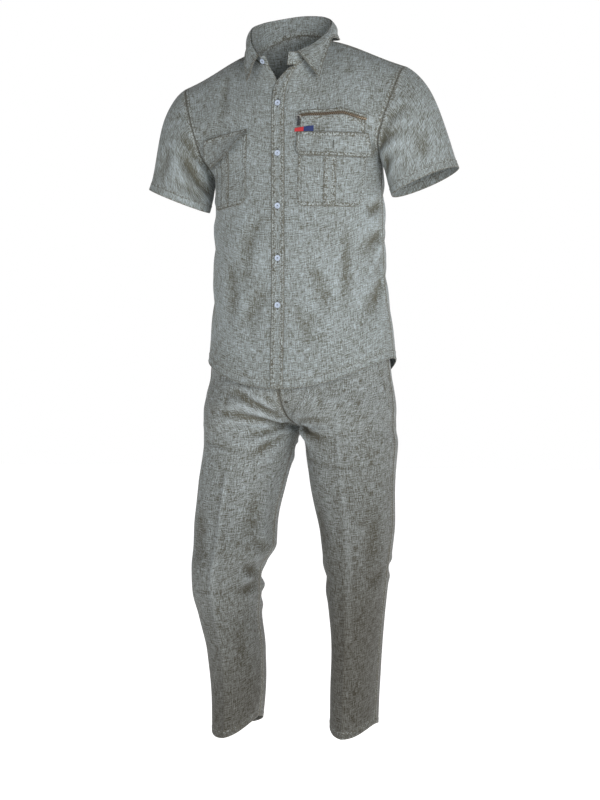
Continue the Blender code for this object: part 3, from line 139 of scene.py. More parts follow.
# Where rows start: v, z at the centre front, z at the centre back
CENTRE_HEIGHT = np.array([
    (0.0, -0.727, -0.735),
    (0.12, -0.66, -0.66),
    (0.3, -0.55, -0.55),
    (0.46, -0.43, -0.43),
    (0.58, -0.34, -0.33),
    (0.66, -0.28, -0.27),
    (0.74, -0.225, -0.21),
    (0.83, -0.17, -0.14),
    (0.92, -0.108, -0.052),
    (1.0, -0.0625, 0.022),
])

# Centre front: z, x of the middle of the placket, x of the right front's edge, depth y
CENTRE_FRONT = np.array([
    (-0.76, -0.001, 0.0047, -0.1375),
    (-0.64, 0.0, 0.0057, -0.135),
    (-0.557, 0.0014, 0.0071, -0.134),
    (-0.462, 0.0014, 0.0071, -0.1335),
    (-0.356, -0.0008, 0.0049, -0.128),
    (-0.248, -0.0046, 0.0011, -0.118),
    (-0.18, -0.0085, -0.003, -0.108),
    (-0.144, -0.0105, -0.0062, -0.1015),
    (-0.118, -0.0095, -0.0105, -0.096),
    (-0.09, -0.002, -0.021, -0.0905),
    (-0.062, 0.015, -0.0388, -0.0865),
])

# Centre back: z, x, depth y
CENTRE_BACK = np.array([
    (-0.74, 0.003, 0.14),
    (-0.65, 0.003, 0.135),
    (-0.55, 0.0, 0.125),
    (-0.45, 0.0, 0.119),
    (-0.33, -0.003, 0.124),
    (-0.2, -0.009, 0.127),
    (-0.12, -0.014, 0.118),
    (-0.05, -0.018, 0.096),
    (0.022, -0.019, 0.065),
])

NECK_POINT = {
    Side.LEFT: np.array((0.066, 0.006, -0.004)),
    Side.RIGHT: np.array((-0.101, 0.006, -0.019)),
}
PLACKET_WIDTH = 0.028
PLACKET_SEAM = 0.006
UNDERLAP_DEPTH = 0.004

# Trousers: hip sections by height: z, half width, x of the middle, front y, back y
HIP = np.array([
    (-0.533, 0.161, -0.002, -0.106, 0.108),
    (-0.6, 0.179, -0.002, -0.117, 0.12),
    (-0.655, 0.189, 0.001, -0.124, 0.129),
    (-0.7, 0.193, 0.001, -0.127, 0.133),
    (-0.74, 0.201, -0.002, -0.125, 0.133),
    (-0.77, 0.204, -0.003, -0.119, 0.128),
    (-0.79, 0.203, -0.003, -0.113, 0.122),
    (-0.803, 0.2025, -0.003, -0.105, 0.115),
])

# Seat seam from the waist to the crotch: z, y on the front, y on the back
SEAT_SEAM = np.array([
    (-0.533, -0.106, 0.108),
    (-0.655, -0.124, 0.129),
    (-0.7, -0.1265, 0.1325),
    (-0.74, -0.117, 0.127),
    (-0.77, -0.09, 0.105),
    (-0.79, -0.05, 0.07),
    (-0.803, 0.008, 0.008),
])
CROTCH_Z = -0.803
SEAT_X = -0.002
SEAT_Y = 0.008

# Legs: z, x and y of the middle, half width, front and back half depth
LEG = {
    Side.LEFT: np.array([
        (-0.803, 0.101, 0.004, 0.1025, 0.109, 0.111),
        (-0.849, 0.113, 0.002, 0.0925, 0.104, 0.106),
        (-0.924, 0.116, 0.0, 0.085, 0.099, 0.1),
        (-1.023, 0.126, 0.0, 0.0735, 0.093, 0.093),
        (-1.123, 0.125, 0.002, 0.061, 0.088, 0.086),
        (-1.248, 0.1225, 0.008, 0.0485, 0.081, 0.08),
        (-1.348, 0.1165, 0.014, 0.046, 0.08, 0.078),
        (-1.44, 0.111, 0.02, 0.045, 0.082, 0.076),
    ]),
    Side.RIGHT: np.array([
        (-0.803, -0.1045, 0.004, 0.102, 0.109, 0.111),
        (-0.849, -0.1115, 0.0, 0.0945, 0.104, 0.106),
        (-0.924, -0.1245, -0.01, 0.0895, 0.1, 0.1),
        (-0.998, -0.1315, -0.025, 0.0845, 0.095, 0.095),
        (-1.048, -0.129, -0.038, 0.084, 0.092, 0.092),
        (-1.098, -0.143, -0.045, 0.0715, 0.09, 0.088),
        (-1.148, -0.145, -0.04, 0.07, 0.088, 0.086),
        (-1.198, -0.143, -0.03, 0.0615, 0.085, 0.084),
        (-1.273, -0.1355, -0.015, 0.057, 0.082, 0.081),
        (-1.348, -0.1365, 0.0, 0.0525, 0.08, 0.079),
        (-1.44, -0.145, 0.012, 0.045, 0.081, 0.076),
    ]),
}
PANEL_TOP_Z = -0.5733
HEM_Z = -1.411
HEM_DROP_FRONT = 0.026
HEM_DROP_BACK = 0.014
HEM_TILT = {Side.LEFT: 0.006, Side.RIGHT: 0.024}
CREASE_HEIGHT = 0.0035
CREASE_WIDTH = 0.1

# Collar, from the left front round the back to the right front: fold line, outer edge
COLLAR = np.array([
    # fold x   y        z        edge x   y        z
    (0.0255, -0.089, -0.037, 0.0759, -0.093, -0.0937),
    (0.05, -0.068, -0.022, 0.0785, -0.062, -0.047),
    (0.0685, -0.02, 0.011, 0.08, -0.013, -0.001),
    (0.06, 0.032, 0.04, 0.072, 0.047, 0.003),
    (0.025, 0.063, 0.058, 0.031, 0.078, 0.008),
    (-0.017, 0.07, 0.062, -0.017, 0.085, 0.01),
    (-0.06, 0.061, 0.057, -0.067, 0.077, 0.005),
    (-0.094, 0.029, 0.045, -0.108, 0.043, -0.003),
    (-0.101, -0.018, 0.027, -0.111, -0.018, -0.016),
    (-0.087, -0.058, -0.008, -0.103, -0.056, -0.048),
    (-0.0598, -0.086, -0.042, -0.0848, -0.092, -0.0955),
])
COLLAR_MIDDLE = np.array((-0.017, -0.008, 0.0))
COLLAR_ROLL = 0.0045
COLLAR_WALL = 0.002
STAND_LEFT_END = ((0.004, -0.089, -0.0618), (0.007, -0.0868, -0.0375))
STAND_RIGHT_END = ((-0.044, -0.088, -0.044),)
STAND_TUCK = 0.0028
STAND_IN = 0.0013


def curve_between(start: Array, start_way: Array, finish: Array, finish_way: Array, part: Array) -> Array:
    """A cubic from start to finish that leaves and arrives with the two given slopes."""
    square = part * part
    cube = square * part
    return (
        (2 * cube - 3 * square + 1) * start
        + (cube - 2 * square + part) * start_way
        + (3 * square - 2 * cube) * finish
        + (cube - square) * finish_way
    )


def through(table: Array, at: Array) -> Array:
    """Columns after the first of a table, at values of its first column.

    Between rows the curve is a cubic whose slope at a row is the harmonic mean of the slopes on
    both sides, or flat where they have unlike signs, so that it never overshoots.

    Args:
        table: rows sorted or not by their first column.
        at: values of the first column.

    Returns:
        One row of the other columns for each value.
    """
    order = np.argsort(table[:, 0])
    knots = table[order, 0]
    values = table[order, 1:]
    steps = np.diff(knots)[:, None]
    slopes = np.diff(values, axis=0) / steps
    product, total = slopes[:-1] * slopes[1:], slopes[:-1] + slopes[1:]
    means = np.where(product > 0, 2 * product / np.where(product > 0, total, 1.0), 0.0)
    tangents = np.concatenate([slopes[:1], means, slopes[-1:]])
    at = np.asarray(at, float)
    place = np.clip(np.searchsorted(knots, at) - 1, 0, len(knots) - 2)
    step = steps[place]
    part = ((at - knots[place]) / step[..., 0])[..., None]
    after = place + 1
    return curve_between(values[place], step * tangents[place], values[after], step * tangents[after], part)


def bezier(first: Array, second: Array, third: Array, fourth: Array, part: Array) -> Array:
    """A cubic from the first point to the fourth, drawn towards the two between."""
    part = np.asarray(part)[..., None]
    rest = 1 - part
    return rest**3 * first + 3 * rest**2 * part * second + 3 * rest * part**2 * third + part**3 * fourth


def points(x: Array, y: Array, z: Array) -> Array:
    """Three arrays as one array of points."""
    return np.stack(np.broadcast_arrays(x, y, z), axis=-1).astype(float)


def paired(first: Array, second: Array) -> list[Array]:
    """Two arrays of numbers at one common shape."""
    return np.broadcast_arrays(np.asarray(first, float), np.asarray(second, float))


def smooth_step(part: Array) -> Array:
    """0 below 0, 1 above 1, and 3p^2 - 2p^3 between."""
    part = np.clip(part, 0, 1)
    return part * part * (3 - 2 * part)


def unit(vectors: Array) -> Array:
    """The same directions at length 1."""
    return vectors / np.maximum(np.linalg.norm(vectors, axis=-1, keepdims=True), 1e-12)


def run_along(grid: Array, axis: int = 0) -> Array:
    """Metres from the first point to each other one, along the lines of a grid that run this way."""
    steps = np.linalg.norm(np.diff(grid, axis=axis), axis=-1)
    return np.concatenate([np.zeros_like(np.take(steps, [0], axis)), np.cumsum(steps, axis)], axis)


def along(line: Array) -> Array:
    """How far along a line of points each point is, from 0 to 1."""
    run = run_along(line)
    return run / run[-1]


def resample(line: Array, at: Array) -> Array:
    """Points on the straight stretches of a line, at shares of its length."""
    shares = along(line)
    return np.stack([np.interp(at, shares, line[:, axis]) for axis in range(line.shape[1])], axis=-1)


def spaced(line: Array, step: float) -> Array:
    """The line again with a point about every step metres."""
    return resample(line, np.linspace(0, 1, max(3, int(run_along(line)[-1] / step) + 1)))


def ripple(spots: Array, wave: float, seed: int) -> Array:
    """A smooth unevenness from -1 to 1: the mean of six sines, each across its own direction.

    Args:
        spots: points in space.
        wave: the mean wavelength in metres.
        seed: which set of directions.

    Returns:
        One value for each point.
    """
    random = np.random.default_rng(seed)
    ways = unit(random.normal(size=(6, 3)))
    lengths = wave * random.uniform(0.7, 1.5, 6)
    starts = random.uniform(0, 2 * math.pi, 6)
    return np.sin(spots @ (ways / lengths[:, None]).T * 2 * math.pi + starts).mean(axis=-1)


@dataclass(frozen=True)
class Crease:
    """A fold pressed into a panel, or standing out of it.

    Attributes:
        path: (across, up) pairs in the panel's parameters, from where it is sharpest.
        half_width: metres, at its start.
        depth: metres inwards; below 0 it stands out.
        start: how strong it is at its start, from 0 to 1.
        spread: how much wider it is at its end, as a share.
    """

    path: tuple[tuple[float, float], ...]
    half_width: float
    depth: float
    start: float = 0.0
    spread: float = 0.6


def folds(*rows: tuple) -> tuple[Crease, ...]:
    """Creases from rows: the path's pairs, then half width and depth in millimetres, then start."""
    return tuple(Crease(row[:-3], row[-3] / 1000, row[-2] / 1000, row[-1]) for row in rows)


class Cloth(ABC):
    """A panel as a surface of across and up, with creases.

    Attributes:
        creases: the folds of this panel.
        ripple_depth: metres of general unevenness.
        seed: which unevenness.
        turned: 1 or -1, whichever makes the cross product of across and up point outwards.
    """

    turned: float = 1.0

    def __init__(self, creases: tuple[Crease, ...], ripple_depth: float = 0.0008, seed: int = 1) -> None:
        """Keeps the creases as lines in space, worked out once."""
        self.ripple_depth = ripple_depth
        self.seed = seed
        self.lines: list[tuple[Array, Crease]] = []
        for crease in creases:
            spots = resample(np.array(crease.path), np.linspace(0, 1, 10))
            self.lines.append((self.bare(spots[:, 0], spots[:, 1]), crease))

    @abstractmethod
    def bare(self, across: Array, up: Array) -> Array:
        """The panel's outer face without creases."""

    def seam_room(self, across: Array, up: Array) -> Array:
        """About how far each place is from the nearest seam, in metres, or 1 where none holds it."""
        return np.full(np.broadcast(across, up).shape, 1.0)

    def normal(self, across: Array, up: Array) -> Array:
        """Unit normals of the bare surface, pointing outwards, from central differences."""
        step = 2e-3
        by_across = self.bare(across + step, up) - self.bare(across - step, up)
        by_up = self.bare(across, up + step) - self.bare(across, up - step)
        return unit(np.cross(by_across, by_up)) * self.turned

    def press(self, spots: Array) -> Array:
        """How far inwards the creases press each spot, before the seams hold it.

        Each crease is a trough, exp(-(d/w)^2) at distance d from its line, between two low
        shoulders that stand out, and it grows wider and shallower along its length.
        """
        total = np.zeros(spots.shape[:-1])
        for line, crease in self.lines:
            best = np.full(total.shape, 9.0)
            share = np.zeros(total.shape)
            parts = len(line) - 1
            for index in range(parts):
                run = line[index + 1] - line[index]
                along_run = np.clip(((spots - line[index]) @ run) / (run @ run), 0, 1)
                away = np.linalg.norm(spots - (line[index] + along_run[..., None] * run), axis=-1)
                nearer = away < best
                best = np.where(nearer, away, best)
                share = np.where(nearer, (index + along_run) / parts, share)
            width = crease.half_width * (1 + crease.spread * share)
            fade = smooth_step((share + crease.start * 0.35) / 0.35) * smooth_step((1 - share) / 0.55)
            trough = np.exp(-((best / width) ** 2))
            shoulder = np.exp(-(((best - 2.1 * width) / (0.9 * width)) ** 2))
            deep = min(crease.depth * CREASE_GAIN, CREASE_MOST)
            total += deep * fade * (trough - 0.35 * shoulder)
        return total

    def laid(self, across: Array, up: Array) -> tuple[Array, Array, Array]:
        """Bare points, unit normals, and metres that creases and unevenness move each place inwards.

        Nothing moves at a seam.
        """
        across, up = paired(across, up)
        spots = self.bare(across, up)
        sunk = self.press(spots) + self.ripple_depth * ripple(spots, RIPPLE_WAVE, self.seed)
        return spots, self.normal(across, up), sunk * smooth_step(self.seam_room(across, up) / SEAM_HOLD)

    def line(self, across: Array, up: Array, lift: Array | float = 0.0) -> tuple[Array, Array]:
        """Points of the creased surface, moved outwards by lift, and their normals."""
        spots, ways, sunk = self.laid(across, up)
        return spots + ways * (lift - sunk)[..., None], ways

    def at(self, across: Array, up: Array, lift: Array | float = 0.0) -> Array:
        """Points of the creased surface, moved outwards by lift."""
        return self.line(across, up, lift)[0]


def outer_edge(side: Side, face: Face, v: Array) -> Array:
    """The side seam below the underarm and the armhole above it."""
    seam = through(SIDE_SEAM, np.minimum(v, UNDERARM_V))
    pick = 0 if side is Side.LEFT else 1
    low = points(seam[..., pick], 0.0, seam[..., 2 + pick])
    high = through(ARMHOLE[side, face], np.maximum(v, UNDERARM_V))
    return np.where((np.asarray(v) > UNDERARM_V)[..., None], high, low)


def inner_edge(side: Side, face: Face, v: Array) -> Array:
    """The centre front or centre back edge."""
    heights = through(CENTRE_HEIGHT, v)
    if face is Face.BACK:
        z = heights[..., 1]
        found = through(CENTRE_BACK, z)
        return points(found[..., 0], found[..., 1], z)
    z = heights[..., 0]
    found = through(CENTRE_FRONT, z)
    if side is Side.LEFT:
        return points(found[..., 0] + PLACKET_SEAM, found[..., 2], z)
    under = UNDERLAP_DEPTH * smooth_step((z + 0.15) / 0.04)
    return points(found[..., 1], found[..., 2] + under, z)


def top_edge(side: Side, face: Face, t: Array) -> Array:
    """The neckline from its middle to the neck point, then the shoulder seam to its tip."""
    start = inner_edge(side, face, 1.0)
    neck = NECK_POINT[side]
    tip = outer_edge(side, face, 1.0)
    sign = side.value
    t = np.asarray(t, float)
    across = np.clip(t / NECK_T, 0, 1)
    if face is Face.FRONT:
        line = bezier(start, start + (0.02 * sign, 0.006, 0.003), neck + (0.0, -0.048, -0.014), neck, across)
    else:
        pull = neck + (0.004 * sign, 0.036, 0.004)
        line = bezier(start, start + (0.045 * sign, 0.0, 0.0), pull, neck, across)
    past = np.clip((t - NECK_T) / (1 - NECK_T), 0, 1)
    seam = bezier(neck, neck + (0.055 * sign, 0.0, -0.012), tip + (-0.07 * sign, 0.0, 0.024), tip, past)
    return np.where((t > NECK_T)[..., None], seam, line)


def top_lift(side: Side, face: Face, t: Array) -> Array:
    """How far the top edge stands off the straight line between its two ends."""
    first = inner_edge(side, face, 1.0)
    last = outer_edge(side, face, 1.0)
    return top_edge(side, face, t) - (first + (last - first) * t[..., None])


def oval_shares(part: Array) -> tuple[Array, Array]:
    """How far sideways and how far forward a quarter oval is, as shares of its half axes."""
    rest = 1 - part
    sideways = 3 * rest**2 * part * ROW_TURN_FRONT + 3 * rest * part**2 + part**3
    forward = rest**3 + 3 * rest**2 * part + 3 * rest * part**2 * ROW_TURN_SIDE
    return sideways, forward


def oval_end(depth_share: Array) -> Array:
    """The part of the quarter oval at which it has this depth, found by halving."""
    low = np.full(np.shape(depth_share), 0.2)
    high = np.full(np.shape(depth_share), 1.15)
    for _ in range(30):
        middle = (low + high) / 2
        deeper = oval_shares(middle)[1] > depth_share
        low = np.where(deeper, middle, low)
        high = np.where(deeper, high, middle)
    return (low + high) / 2


def shirt_point(side: Side, face: Face, t: Array, v: Array) -> Array:
    """A point of the shirt's front or back.

    Low rows are quarter ovals, from facing forwards at the centre to facing sideways at the
    side seam.  Towards the shoulder each row takes on the shape of the top edge.
    """
    t, v = paired(t, v)
    inner = inner_edge(side, face, v)
    outer = outer_edge(side, face, v)
    cut = oval_end(outer[..., 1] / inner[..., 1])
    side_share, depth_share = oval_shares(t * cut)
    reach = (outer[..., 0] - inner[..., 0]) / oval_shares(cut)[0]
    level = inner[..., 2] + (outer[..., 2] - inner[..., 2]) * t * t * (3 - 2 * t)
    oval = points(inner[..., 0] + reach * side_share, inner[..., 1] * depth_share, level)
    straight = inner + (outer - inner) * t[..., None]
    rise = np.clip((v - UNDERARM_V) / (1 - UNDERARM_V), 0, 1)
    reach_along = np.minimum(CORNER_SOFTEN * np.sqrt(1 - rise), np.minimum(t, 1 - t))
    lift = sum(top_lift(side, face, t + reach_along * part) for part in SOFTEN_PARTS) / len(SOFTEN_PARTS)
    share = np.stack([rise**2.0, rise**3.2, rise**1.7], axis=-1)
    return straight + (1 - share) * (oval - straight) + share * lift


def trouser_point(side: Side, face: Face, t: Array, z: Array) -> Array:
    """A point of a trouser panel.

    A row of the hips is a quarter oval from the seat seam to the side seam.  A row of the leg
    is a half oval from the inside leg to the side seam.  The rows between blend the two.
    """
    t, z = paired(t, z)
    sign = float(face.value)
    pick = 0 if face is Face.FRONT else 1
    hip = through(HIP, np.maximum(z, CROTCH_Z))
    seat = through(SEAT_SEAM, np.maximum(z, CROTCH_Z))
    leg = through(LEG[side], np.minimum(z, CROTCH_Z))
    on_leg = z < CROTCH_Z
    close = smooth_step((CROTCH_Z - z) / 0.03)[..., None]
    leg_inner = points(leg[..., 0] - side.value * leg[..., 2], leg[..., 1], z) * close
    leg_inner = leg_inner + points(SEAT_X, SEAT_Y, z) * (1 - close)
    leg_outer = points(leg[..., 0] + side.value * leg[..., 2], leg[..., 1], z) * close
    leg_outer = leg_outer + points(HIP[-1, 2] + side.value * HIP[-1, 1], SEAT_Y, z) * (1 - close)
    side_y = SEAT_Y * smooth_step((-0.6 - z) / 0.2)
    hip_outer = points(hip[..., 1] + side.value * hip[..., 0], side_y, z)
    inner = np.where(on_leg[..., None], leg_inner, points(SEAT_X, seat[..., pick], z))
    outer = np.where(on_leg[..., None], leg_outer, hip_outer)
    reach = np.abs(np.where(on_leg, leg[..., 3 + pick], np.abs(hip[..., 2 + pick])))
    into_leg = smooth_step((-0.725 - z) / (0.845 - 0.725))[..., None]
    target = sign * reach * 4 / 3
    half_second = points(inner[..., 0], target + 0.25 * (inner[..., 1] - outer[..., 1]) + outer[..., 1], z)
    quarter_second = inner + points(0.58 * (outer - inner)[..., 0], 0.0, 0.0)
    second = quarter_second * (1 - into_leg) + half_second * into_leg
    third = outer + points(0.0, 0.56 * sign * reach, 0.0) * (1 - into_leg) + points(0.0, target, 0.0) * into_leg
    goal = reach + np.where(on_leg, sign * leg[..., 1], 0.0)
    for _ in range(4):
        found = np.full(t.shape, -9.0)
        for part in np.linspace(0, 1, 25):
            here = bezier(inner, second, third, outer, np.full(t.shape, part))[..., 1]
            found = np.maximum(found, sign * here)
        grow = goal / np.maximum(found, 1e-6)
        second[..., 1] *= grow
        third[..., 1] *= grow
    row = bezier(inner, second, third, outer, t)
    crease = np.clip(1 - np.abs(t - 0.5) / CREASE_WIDTH, 0, 1) ** 2 * CREASE_HEIGHT
    row[..., 1] += sign * crease * smooth_step((-0.86 - z) / 0.12)
    shift = -HEM_DROP_FRONT if face is Face.FRONT else -HEM_DROP_BACK
    bow = np.sin(math.pi * np.clip(t, 0, 1)) ** 1.5
    row[..., 2] += smooth_step((-1.33 - z) / 0.08) * (shift * bow - HEM_TILT[side] * t)
    return row


class ShirtFront(Cloth):
    """One front of the shirt: across from the centre front to the side, up from hem to shoulder."""

    def __init__(self, side: Side, creases: tuple[Crease, ...]) -> None:
        """Keeps the side before the creases are worked out."""
        self.side = side
        self.turned = float(side.value)
        super().__init__(creases, seed=11 + side.value)

    def bare(self, across: Array, up: Array) -> Array:
        """The front's outer face."""
        return shirt_point(self.side, Face.FRONT, across, np.clip(up, 0, 1))

    def seam_room(self, across: Array, up: Array) -> Array:
        """Distance from the centre, side, armhole and shoulder seams; the hem is free."""
        sideways = np.minimum(np.abs(across), np.clip(1 - across, 0, 1)) * 0.2
        return np.minimum(np.where(across < 0, 0.0, sideways), np.clip(1 - up, 0, 1) * 0.22)

    def locate(self, x: Array, z: Array) -> tuple[Array, Array]:
        """Across and up at which the front has this x and z, by Newton's method."""
        t = np.clip(np.abs(x) / 0.19, 0.02, 0.9)
        v = np.interp(z, CENTRE_HEIGHT[:, 1], CENTRE_HEIGHT[:, 0])
        step = 1e-4
        for _ in range(12):
            here = self.bare(t, v)
            by_t = (self.bare(t + step, v) - here) / step
            by_v = (self.bare(t, v + step) - here) / step
            off_x = x - here[..., 0]
            off_z = z - here[..., 2]
            size = by_t[..., 0] * by_v[..., 2] - by_v[..., 0] * by_t[..., 2]
            size = np.where(np.abs(size) < 1e-4, 1e-4, size)
            t = t + np.clip((off_x * by_v[..., 2] - by_v[..., 0] * off_z) / size, -0.15, 0.15)
            v = v + np.clip((by_t[..., 0] * off_z - off_x * by_t[..., 2]) / size, -0.1, 0.1)
            t = np.clip(t, -0.16, 1.0)
            v = np.clip(v, -0.02, 0.996)
        return t, v

    def over(self, x: Array, z: Array, lift: Array | float) -> tuple[Array, Array]:
        """Points over the front at this x and z, moved out from the creased cloth, and normals."""
        return self.line(*self.locate(*paired(x, z)), lift)

    def upright(self, x: float, z: float, lift: float) -> tuple[Array, Array, Array]:
        """A point over the front, its normal, and the way that runs up the cloth there."""
        place, axis = self.over(x, z, lift)
        return place, axis, self.over(x, z + 0.004, 0.0)[0] - self.over(x, z - 0.004, 0.0)[0]


class ShirtBack(Cloth):
    """The back of the shirt: across from the right side seam to the left, up from the hem."""

    turned = -1.0

    def bare(self, across: Array, up: Array) -> Array:
        """The back's outer face, its two halves meeting at the centre back."""
        across, up = np.broadcast_arrays(np.asarray(across, float), np.clip(up, 0, 1))
        spot = across * 2 - 1
        left = shirt_point(Side.LEFT, Face.BACK, np.clip(np.abs(spot), 0, 1.02), up)
        right = shirt_point(Side.RIGHT, Face.BACK, np.clip(np.abs(spot), 0, 1.02), up)
        return np.where((spot > 0)[..., None], left, right)

    def seam_room(self, across: Array, up: Array) -> Array:
        """Distance from the side, armhole and shoulder seams."""
        return np.minimum(np.clip(np.minimum(across, 1 - across), 0, 1) * 0.42, np.clip(1 - up, 0, 1) * 0.22)

class Sleeve(Cloth):
    """A sleeve: across is the turn from the underarm up the front and down the back, up is 0 at
    the armhole and 1 at the cuff."""

    def __init__(self, side: Side, middle: tuple, wide: tuple, deep: float, way: tuple,
                 creases: tuple[Crease, ...]) -> None:
        """Keeps the cuff's middle, half width, half depth and the way that the sleeve ends."""
        self.side = side
        self.middle = np.array(middle)
        self.wide = np.array(wide)
        self.deep = np.array((0.0, deep, 0.0))
        self.way = np.array(way)
        self.turned = -float(side.value)
        rows = np.linspace(UNDERARM_V, 1, 60)
        self.front = outer_edge(side, Face.FRONT, rows)
        self.back = outer_edge(side, Face.BACK, rows)
        super().__init__(creases, seed=31 + side.value)

    def ring(self, across: Array) -> tuple[Array, Array]:
        """The armhole's edge and the turn at the cuff that goes with it."""
        turn = np.asarray(across, float) % 1.0
        on_front = turn <= 0.5
        up_front = resample(self.front, np.clip(turn * 2, 0, 1).ravel()).reshape(*turn.shape, 3)
        down_back = resample(self.back, np.clip(2 - turn * 2, 0, 1).ravel()).reshape(*turn.shape, 3)
        return np.where(on_front[..., None], up_front, down_back), turn * 2 * math.pi

    def bare(self, across: Array, up: Array) -> Array:
        """The sleeve's outer face: a cubic from the armhole to an oval cuff."""
        across, up = paired(across, up)
        start, turn = self.ring(across)
        finish = self.middle - np.cos(turn)[..., None] * self.wide - np.sin(turn)[..., None] * self.deep
        chord = np.linalg.norm(finish - start, axis=-1, keepdims=True)
        high = ((1 - np.cos(turn)) / 2)[..., None]
        sign = self.side.value
        start_way = np.array((0.42 * sign, 0.0, -0.91)) * (1 - high) + np.array((0.9 * sign, 0.0, -0.44)) * high
        start_way = start_way + points(0.0, -0.25 * np.sin(turn), 0.0)
        return curve_between(start, start_way * chord, finish, self.way * chord, up[..., None])

    def seam_room(self, across: Array, up: Array) -> Array:
        """Distance from the armhole seam; the underarm seam is soft and the cuff is free."""
        return np.clip(up, 0, 1) * 0.2 + 0 * across

class TrouserPanel(Cloth):
    """A trouser panel: across from the inside to the side seam, up is the height z."""

    def __init__(self, side: Side, face: Face, creases: tuple[Crease, ...]) -> None:
        """Keeps side and face before the creases are worked out."""
        self.side = side
        self.face = face
        self.turned = -float(side.value * face.value)
        super().__init__(creases, seed=51 + side.value + 4 * face.value)

    def bare(self, across: Array, up: Array) -> Array:
        """The panel's outer face."""
        return trouser_point(self.side, self.face, across, up)

    def seam_room(self, across: Array, up: Array) -> Array:
        """Distance from the inside and side seams; the hem is free."""
        wide = np.where(np.asarray(up) > CROTCH_Z, 0.2, 0.16)
        return np.clip(np.minimum(across, 1 - across), 0, 1) * wide

class CollarFall(Cloth):
    """The collar's turned-down part: across from the left front round the back to the right
    front, up is 0 at the fold and 1 at the outer edge."""

    turned = -1.0

    def __init__(self) -> None:
        """The collar has no creases of its own, only a slight unevenness."""
        steps = along(COLLAR[:, :3])
        self.table = np.column_stack([steps, COLLAR])
        super().__init__((), ripple_depth=0.0007, seed=71)

    def fold_and_edge(self, across: Array) -> tuple[Array, Array]:
        """The fold line and the outer edge."""
        rows = through(self.table, np.asarray(across, float))
        return rows[..., :3], rows[..., 3:]

    def bare(self, across: Array, up: Array) -> Array:
        """Straight from fold to edge, with a roll that stands away from the neck near the fold."""
        across, up = paired(across, up)
        fold, edge = self.fold_and_edge(across)
        share = up[..., None]
        roll = COLLAR_ROLL * np.sin(math.pi * np.clip(share * 1.5, 0, 1))
        return fold * (1 - share) + edge * share + away_from_neck(fold) * roll

def away_from_neck(line: Array) -> Array:
    """Level directions that point away from the neck."""
    away = line - COLLAR_MIDDLE
    away[..., 2] = 0
    return unit(away)


class CollarStand(Cloth):
    """The band under the collar: across as on the fall, up is 0 at the neckline and 1 at the fold."""

    def __init__(self, fall: CollarFall) -> None:
        """Joins its base to the neckline and its top to the fall's fold."""
        at = np.linspace(0, 1, 90)
        fold = fall.fold_and_edge(at)[0]
        top = fold - away_from_neck(fold) * (COLLAR_WALL + 0.0009) + points(0.0, 0.0, -0.0012)
        self.top = np.concatenate([np.array(STAND_LEFT_END[1])[None], top, np.array(STAND_RIGHT_END[0])[None]])
        t = np.linspace(0, NECK_T, 24)
        self.base = np.concatenate([
            np.array(STAND_LEFT_END[0])[None],
            top_edge(Side.LEFT, Face.FRONT, t),
            top_edge(Side.LEFT, Face.BACK, t[::-1])[1:],
            top_edge(Side.RIGHT, Face.BACK, t)[1:],
            top_edge(Side.RIGHT, Face.FRONT, t[::-1])[1:],
        ])
        super().__init__((), ripple_depth=0.0003, seed=73)

    def bare(self, across: Array, up: Array) -> Array:
        """Straight from the neckline to the fold."""
        across, up = paired(across, up)
        flat = np.clip(across.ravel(), 0, 1)
        top = resample(self.top, flat).reshape(*across.shape, 3)
        base = resample(self.base, flat).reshape(*across.shape, 3)
        base = base - unit(top - base) * STAND_TUCK - away_from_neck(base.copy()) * STAND_IN
        return base * (1 - up[..., None]) + top * up[..., None]

# Mesh building


def edge_room(grid: Array, edges: tuple[str, ...]) -> Array:
    """Metres along the cloth from each point of a grid to the nearest of the named edges.

    Args:
        grid: points, columns by rows.
        edges: any of first, last, low, high: the first and last column, the first and last row.

    Returns:
        One distance for each point.
    """
    over, down = run_along(grid), run_along(grid, 1)
    rooms = {"low": down, "high": down[:, -1:] - down, "first": over, "last": over[-1:] - over}
    return np.min([rooms[edge] for edge in edges], axis=0) if edges else np.full(down.shape, 1.0)


def facing_of(grid: Array) -> Array:
    """Unit normals of a grid from the lines to its neighbours, across crossed with up."""
    return unit(np.cross(np.gradient(grid, axis=0), np.gradient(grid, axis=1)))


def steps_with_edges(start: float, end: float, count: int, fine: float, marks: tuple[float, ...] = ()) -> Array:
    """Evenly spaced values with two more near each end and near each mark, so that rims stay crisp.

    Args:
        start: the first value.
        end: the last value.
        count: how many even steps.
        fine: how far from an end or mark the extra values are.
        marks: values between the ends.

    Returns:
        Rising values.
    """
    extra = [start + fine, end - fine] + [mark + shift for mark in marks for shift in (-fine, fine)]
    both = np.sort(np.concatenate([np.linspace(start, end, count + 1), extra]))
    both = both[np.append(True, np.diff(both) > fine * 0.45)]
    both[-1] = end
    return both


